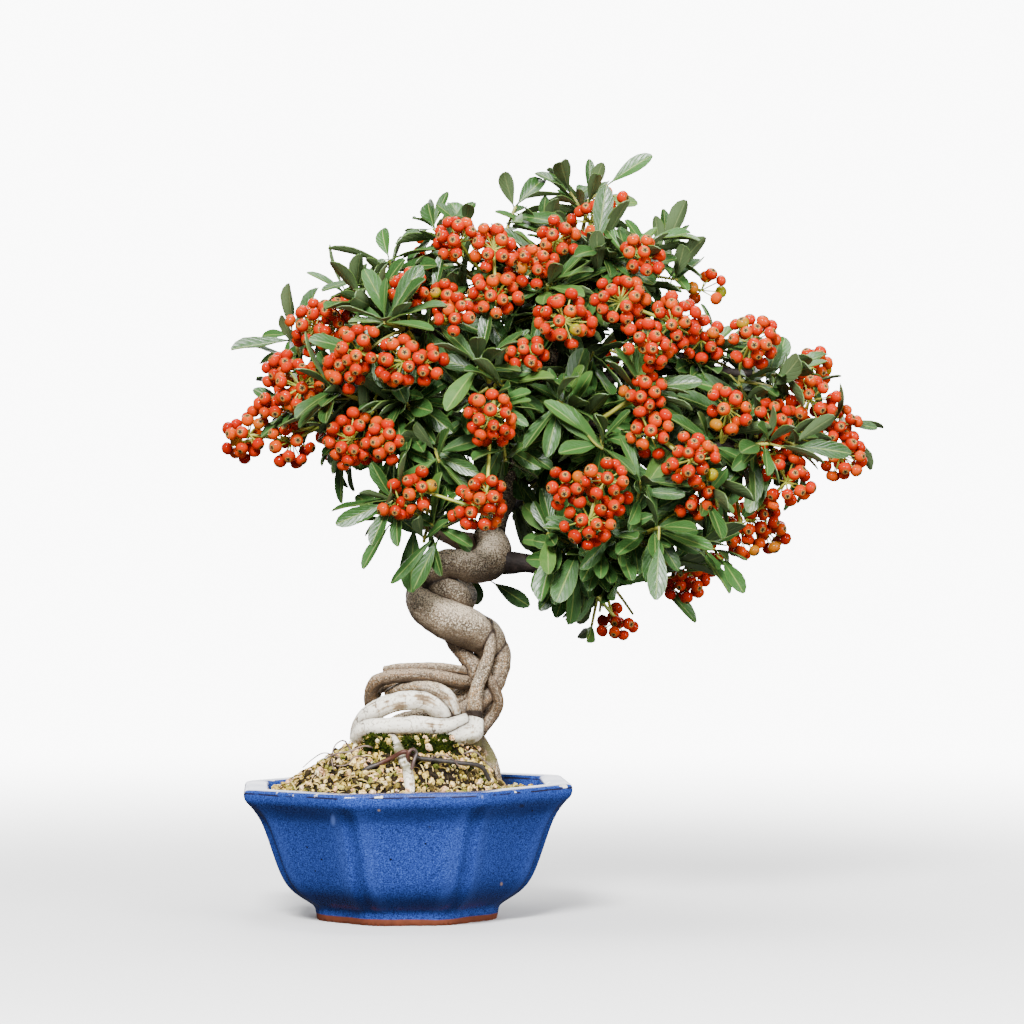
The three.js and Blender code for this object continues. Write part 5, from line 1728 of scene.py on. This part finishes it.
def make_moss(settings):
    """Moss tufts on the cushion, and strays in patches on the mound."""
    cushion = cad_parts["moss_cushion"]
    finish = moss_finish()
    coat(cushion, finish)
    tuft = model_tuft()
    dice = Dice(FIRST_SEED + 5)
    parts = []
    grounds = ((cushion, settings.tufts, None), (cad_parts["soil_mound"], settings.strays, MOSS_PATCHES))
    for node, count, patches in grounds:
        ground = Surface(node)
        wanted = len(parts) + count
        while len(parts) < wanted:
            spot, normal = ground.spot(dice)
            height = settings.tuft_height * dice.between(0.5, 1.3)
            lean = Vector([dice.between(-0.8, 0.8) for _ in range(3)])
            if normal.z < -0.3 or patches and not within((spot.x / MM, spot.y / MM), patches):
                continue
            way = (normal + lean).to_track_quat("Z", "Y").to_matrix().to_4x4()
            parts.append(copy_of(tuft, Matrix.Translation(spot) @ way @ Matrix.Scale(height, 4)))
    moss = joined("moss_tufts", parts)
    forget([tuft])
    dress(moss, finish, "moss")


def make_wire():
    """The laid wire, with the short turn that ties it down."""
    lines = ((WIRE_PATH, WIRE_RADIUS), (WIRE_TURN, TURN_RADIUS))
    paths = [[(*point, radius) for point in line] for line, radius in lines]
    wire = tubes("laid_wire", paths, SIDES_WIRE, EVERY_FINE)
    smooth(wire)
    dress(wire, wire_finish(), "wire", "binding_wire")


def make_hair_roots():
    """Thin dry rootlets that stand out of the mound."""
    roots = tubes("hair_roots", HAIR_ROOTS, SIDES_FINE, EVERY_FINE)
    smooth(roots)
    dress(roots, mottled_finish("dry_rootlet", 0.8, 200, ROOTLET_STOPS), "bark")


# Wood. Lengths are in millimetres, but for the lumps: their size in metres, and their share of the height.
SIDES_COIL = 32
SIDES_ROOT = 20
SIDES_LIMB = 12
EVERY_STRAND = 0.9
EVERY_LIMB = 2.5
CREASE_REACH = 3.2
BARK_LUMPS = {"bark_swells": (0.012, 1.0), "bark_lumps": (0.0028, 0.35)}
LIMB_LUMPS = 0.007


def make_strand(name, points, sides, bleach, others):
    """One coil or root. It knows its grain, how far it is bleached and how deep it lies in a crease."""
    strand = tubes(name, [points], sides, EVERY_STRAND)
    places = np.empty(len(strand.data.vertices) * 3)
    strand.data.vertices.foreach_get("co", places)
    places = places.reshape(-1, 3) / MM
    ring, step = np.divmod(np.arange(len(places)), sides)
    along = ring / ring[-1]
    turn = step * math.tau / sides
    route = Route(points)
    girth = route.radius(along)
    grain = np.column_stack([girth * np.cos(turn), girth * np.sin(turn), along * route.length])
    balls = np.array([ball for other in others for ball in other.balls(1.0)])
    away = np.sqrt(np.sum((places[:, None] - balls[None, :, :3]) ** 2, axis=2)) - balls[None, :, 3] + GAP
    start, end = bleach
    add_values(strand, "bleach", "POINT", start + (end - start) * along)
    # How close each point lies to another strand, used to paint shade into the seams.
    add_values(strand, "crease", "POINT", 1 - np.clip(away.min(axis=1) / CREASE_REACH, 0, 1))
    made = strand.data.attributes.new("grain", "FLOAT_VECTOR", "POINT")
    made.data.foreach_set("vector", grain.astype(np.float32).ravel())
    return strand


def make_trunk(settings):
    """Coils and roots keep their seams, and are roughened with lumps of bark."""
    plan = [(points, SIDES_COIL, (0, 0)) for points in TRUNK]
    for points, bleach, girth in zip(ROOTS, ROOT_BLEACH, ROOT_GIRTH):
        slim = [(*point[:3], point[3] * girth) for point in points]
        plan.append((slim, SIDES_ROOT, bleach))
    routes = [Route(points) for points, _, _ in plan]
    strands = []
    for i, (points, sides, bleach) in enumerate(plan):
        others = [route for j, route in enumerate(routes) if j != i]
        strands.append(make_strand(f"strand_{i}", points, sides, bleach, others))
    wood = joined("coiled_trunk", strands)
    for name, (size, share) in BARK_LUMPS.items():
        roughen(wood, name, size, settings.lumps * share)
    smooth(wood)
    # How far each point faces up, which paints light on the bark's tops and shade underneath.
    add_values(wood, "upward", "POINT", [vertex.normal.z for vertex in wood.data.vertices])
    dress(wood, bark_finish(settings), "bark", "trunk_and_roots")


def make_limbs(settings):
    """The limbs with their knots."""
    limbs = tubes("limbs", list(LIMBS.values()), SIDES_LIMB, EVERY_LIMB)
    roughen(limbs, "limb_knots", LIMB_LUMPS, settings.lumps)
    smooth(limbs, 60)
    dress(limbs, branch_finish(settings), "bark")


# Foliage and fruit. An outline is a list of shares of a leaf's length and its width.
LONG_OUTLINE = [(0, 0.07), (0.13, 0.1), (0.3, 0.5), (0.47, 0.82), (0.63, 1), (0.79, 0.95), (0.92, 0.66),
                (1, 0.2)]
ROUND_OUTLINE = [(0, 0.08), (0.12, 0.12), (0.28, 0.6), (0.45, 0.92), (0.62, 1.1), (0.8, 1.08), (0.93, 0.8),
                 (1, 0.34)]
# Kinds of leaf: how far each droops, folds up and waves, and its outline.
LEAF_KINDS = {
    "leaf_plain": (0.12, 0.10, 0.0, LONG_OUTLINE),
    "leaf_drooping": (0.20, 0.12, 0.05, LONG_OUTLINE),
    "leaf_upright": (0.04, 0.16, 0.04, LONG_OUTLINE),
    "leaf_round": (0.10, 0.06, 0.03, ROUND_OUTLINE),
}
LEAF_THICKNESS = 0.016
# The berry of unit radius: its half height, where its poles start, how deep its eye and foot are sunk.
BERRY_HEIGHT = 0.88
BERRY_POLE = 0.87
EYE_DEPTH = 0.2
FOOT_DEPTH = 0.1
# Its own stalk: the radius in millimetres, and how many berry radii before the centre it ends.
PEDICEL_RADIUS = 0.36
PEDICEL_END = 0.7
EVERY_STEM = 4


def model_leaf(name, droop, fold, wave, outline):
    """A leaf of unit length and width: a grid shaped to the outline, folded and curled."""
    rows = len(outline) - 1
    leaf = added(bpy.ops.mesh.primitive_grid_add, name, x_subdivisions=4, y_subdivisions=rows, size=1)
    with edit_mode(leaf) as mesh:
        for vertex in mesh.verts:
            along, wide = outline[round((vertex.co.y + 0.5) * rows)]
            side = vertex.co.x * wide
            ripple = wave * math.sin(along * 9) * abs(side)
            vertex.co = (side, along, fold * abs(side) + ripple - droop * along * along)
    finish_with(leaf, "SOLIDIFY", thickness=LEAF_THICKNESS, offset=0)
    add_values(leaf, "under", "FACE", [face.normal.z < -0.2 for face in leaf.data.polygons])
    add_tint(leaf)
    smooth(leaf, 50)
    return leaf


def model_stems(routes, finish):
    """The twigs or the stalks of one spray or bunch."""
    stems = tubes("stems", routes, SIDES_FINE, EVERY_STEM)
    stems.data.materials.append(finish)
    smooth(stems)
    return stems


def make_leaves(settings):
    """Each spray's leaves and twigs, as one piece."""
    finish = leaf_finish(settings)
    twig = mottled_finish("young_twig", 0.5, 90, TWIG_STOPS)
    patterns = [model_leaf(name, *kind) for name, kind in LEAF_KINDS.items()]
    for pattern in patterns:
        pattern.data.materials.append(finish)
    dice = Dice(FIRST_SEED + 11)
    for name, leaves in crown().leaves.items():
        parts = [copy_of(patterns[leaf.kind], leaf.matrix(), dice.chance()) for leaf in leaves]
        parts.append(model_stems(crown().twigs[name], twig))
        foliage = joined("foliage_" + name, parts)
        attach(foliage, "root")
        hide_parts("leaves_" + name)
    forget(patterns)


def model_berry():
    """A berry of unit radius that hangs from its lower pole, with a sunken eye on top."""
    berry = added(bpy.ops.mesh.primitive_uv_sphere_add, "berry", segments=12, ring_count=7, radius=1)
    with edit_mode(berry) as mesh:
        bpy.ops.mesh.select_all(action="SELECT")
        bpy.ops.transform.resize(value=(1, 1, BERRY_HEIGHT))
        for vertex in mesh.verts:
            if vertex.co.z > BERRY_POLE:
                vertex.co.z -= EYE_DEPTH
            elif vertex.co.z < -BERRY_POLE:
                vertex.co.z += FOOT_DEPTH
    add_tint(berry)
    smooth(berry)
    return berry


def model_stalk():
    """A straight stalk of unit length and radius."""
    stalk = added(bpy.ops.mesh.primitive_cylinder_add, "stalk", vertices=5, radius=1, depth=1,
                  location=(0, 0, 0.5))
    bpy.ops.object.transform_apply(location=True)
    with edit_mode(stalk) as mesh:
        cut_upright(stalk, mesh, 2)
    add_tint(stalk)
    smooth(stalk, 60)
    return stalk


def directions(way):
    """Three square directions, the last of them along the way."""
    return [np.array(column) for column in Vector(way).to_track_quat("Z", "Y").to_matrix().transposed()]


def berry_matrix(hub, way, length, radius):
    return placed([column * radius for column in directions(way)], hub + way * length)


def stalk_matrix(hub, way, length, radius):
    sizes = (PEDICEL_RADIUS, PEDICEL_RADIUS, length - radius * PEDICEL_END)
    return placed([column * size for column, size in zip(directions(way), sizes)], hub)


def make_berries(settings):
    """Each bunch's berries and stalks, as one piece."""
    skin, green = berry_finish(settings), mottled_finish("berry_stalk", 0.5, 150, STALK_STOPS)
    berry, stalk = model_berry(), model_stalk()
    berry.data.materials.append(skin)
    stalk.data.materials.append(green)
    dice = Dice(FIRST_SEED + 17)
    for name, berries in crown().berries.items():
        parts = [copy_of(berry, berry_matrix(*found), dice.chance()) for found in berries]
        parts += [copy_of(stalk, stalk_matrix(*found)) for found in berries]
        parts.append(model_stems(crown().stalks[name], green))
        fruit = joined("fruit_" + name, parts)
        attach(fruit, "root")
        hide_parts("berries_" + name)
    forget([berry, stalk])


@cache
def crown():
    """The crown's plan, grown once."""
    leaf, berry = bpy.context.scene.bonsai_leaf, bpy.context.scene.bonsai_berry
    return Crown(leaf.crowding, leaf.shoots, berry.crowding)


# Stage.
def add_light(name, place, power, width, height):
    bpy.ops.object.light_add(type="AREA", location=place)
    light = bpy.context.object
    light.name = name
    light.data.shape = "RECTANGLE"
    light.data.size = width
    light.data.size_y = height
    light.data.energy = power
    light.rotation_euler = (Vector(LIGHT_TARGET) - Vector(place)).to_track_quat("-Z", "Y").to_euler()
    light.visible_camera = False


def add_floor(settings):
    """The floor, left out of the light that it would throw back."""
    floor = added(bpy.ops.mesh.primitive_circle_add, "floor", vertices=96, fill_type="TRIFAN",
                  radius=FLOOR_RADIUS)
    floor.data.materials.append(floor_finish(settings))
    floor.visible_diffuse = False
    floor.visible_glossy = False


def add_world(settings):
    """Even light from all round, weaker in reflections, before a bright backdrop."""
    world = bpy.data.worlds.new("surround")
    world.use_nodes = True
    tree = world.node_tree
    background = tree.nodes["Background"]
    background.inputs["Color"].default_value = (1, 1, 1, 1)
    seen = tree.nodes.new("ShaderNodeLightPath")
    dimmed = tree.nodes.new("ShaderNodeMix")
    dimmed.inputs[2].default_value = settings.surround
    dimmed.inputs[3].default_value = settings.mirrored
    blend = tree.nodes.new("ShaderNodeMix")
    blend.inputs[3].default_value = settings.backdrop
    tree.links.new(seen.outputs["Is Glossy Ray"], dimmed.inputs[0])
    tree.links.new(seen.outputs["Is Camera Ray"], blend.inputs[0])
    tree.links.new(dimmed.outputs[0], blend.inputs[2])
    tree.links.new(blend.outputs[0], background.inputs["Strength"])
    bpy.context.scene.world = world


def add_camera(settings):
    """A long lens, level with the middle of the tree."""
    bpy.ops.object.camera_add(location=CAMERA_PLACE, rotation=(math.pi / 2 + CAMERA_PITCH, 0, 0))
    camera = bpy.context.object
    camera.name = "camera"
    camera.data.lens = settings.focal_length
    camera.data.sensor_width = SENSOR_WIDTH
    bpy.context.scene.camera = camera


def make_stage(settings):
    """Floor, lights, surround and camera."""
    add_floor(settings)
    for name, (place, width, height) in LIGHTS.items():
        add_light(name + "_light", place, getattr(settings, name + "_power"), width, height)
    add_world(settings)
    add_camera(settings)


# Operators and panel.
class BONSAI_OT_pot(bpy.types.Operator):
    """Adds the glazed pot"""

    bl_idname = "bonsai.pot"
    bl_label = "Pot"

    def execute(self, context):
        make_pot(context.scene.bonsai_pot)
        return {"FINISHED"}


class BONSAI_OT_soil(bpy.types.Operator):
    """Covers the mound with soil granules"""

    bl_idname = "bonsai.soil"
    bl_label = "Soil"

    def execute(self, context):
        make_soil(context.scene.bonsai_soil)
        make_litter(context.scene.bonsai_soil)
        return {"FINISHED"}


class BONSAI_OT_moss(bpy.types.Operator):
    """Sets moss tufts on the cushion"""

    bl_idname = "bonsai.moss"
    bl_label = "Moss"

    def execute(self, context):
        make_moss(context.scene.bonsai_moss)
        return {"FINISHED"}


class BONSAI_OT_wire(bpy.types.Operator):
    """Lays the wire over the mound"""

    bl_idname = "bonsai.wire"
    bl_label = "Wire"

    def execute(self, context):
        make_wire()
        return {"FINISHED"}


class BONSAI_OT_wood(bpy.types.Operator):
    """Grows the trunk, the roots and the limbs"""

    bl_idname = "bonsai.wood"
    bl_label = "Wood"

    def execute(self, context):
        make_trunk(context.scene.bonsai_wood)
        make_limbs(context.scene.bonsai_wood)
        make_hair_roots()
        return {"FINISHED"}


class BONSAI_OT_leaves(bpy.types.Operator):
    """Grows the leafy sprays"""

    bl_idname = "bonsai.leaves"
    bl_label = "Leaves"

    def execute(self, context):
        make_leaves(context.scene.bonsai_leaf)
        return {"FINISHED"}


class BONSAI_OT_berries(bpy.types.Operator):
    """Grows the bunches of berries"""

    bl_idname = "bonsai.berries"
    bl_label = "Berries"

    def execute(self, context):
        make_berries(context.scene.bonsai_berry)
        return {"FINISHED"}


class BONSAI_OT_stage(bpy.types.Operator):
    """Sets the floor, the lights and the camera"""

    bl_idname = "bonsai.stage"
    bl_label = "Stage"

    def execute(self, context):
        make_stage(context.scene.bonsai_stage)
        return {"FINISHED"}


OPERATORS = (BONSAI_OT_pot, BONSAI_OT_soil, BONSAI_OT_moss, BONSAI_OT_wire, BONSAI_OT_wood,
             BONSAI_OT_leaves, BONSAI_OT_berries, BONSAI_OT_stage)
SETTINGS = {
    "bonsai_pot": PotSettings,
    "bonsai_soil": SoilSettings,
    "bonsai_moss": MossSettings,
    "bonsai_wood": WoodSettings,
    "bonsai_leaf": LeafSettings,
    "bonsai_berry": BerrySettings,
    "bonsai_stage": StageSettings,
}


class BONSAI_PT_panel(bpy.types.Panel):
    """Lists the bonsai's pieces and their settings"""

    bl_label = "Firethorn bonsai"
    bl_idname = "BONSAI_PT_panel"
    bl_space_type = "VIEW_3D"
    bl_region_type = "UI"
    bl_category = "Bonsai"

    def draw(self, context):
        for name, group in SETTINGS.items():
            box = self.layout.box()
            box.label(text=group.__doc__)
            for key in group.__annotations__:
                box.prop(getattr(context.scene, name), key)
        for operator in OPERATORS:
            self.layout.operator(operator.bl_idname)


def register():
    for group in SETTINGS.values():
        bpy.utils.register_class(group)
    for operator in OPERATORS:
        bpy.utils.register_class(operator)
    bpy.utils.register_class(BONSAI_PT_panel)
    for name, group in SETTINGS.items():
        setattr(bpy.types.Scene, name, PointerProperty(type=group))


def unregister():
    for name in SETTINGS:
        delattr(bpy.types.Scene, name)
    bpy.utils.unregister_class(BONSAI_PT_panel)
    for operator in reversed(OPERATORS):
        bpy.utils.unregister_class(operator)
    for group in reversed(list(SETTINGS.values())):
        bpy.utils.unregister_class(group)


def main():
    register()
    bpy.ops.bonsai.stage()
    bpy.ops.bonsai.pot()
    bpy.ops.bonsai.soil()
    bpy.ops.bonsai.moss()
    bpy.ops.bonsai.wire()
    bpy.ops.bonsai.wood()
    bpy.ops.bonsai.leaves()
    bpy.ops.bonsai.berries()


if __name__ == "__main__":
    main()
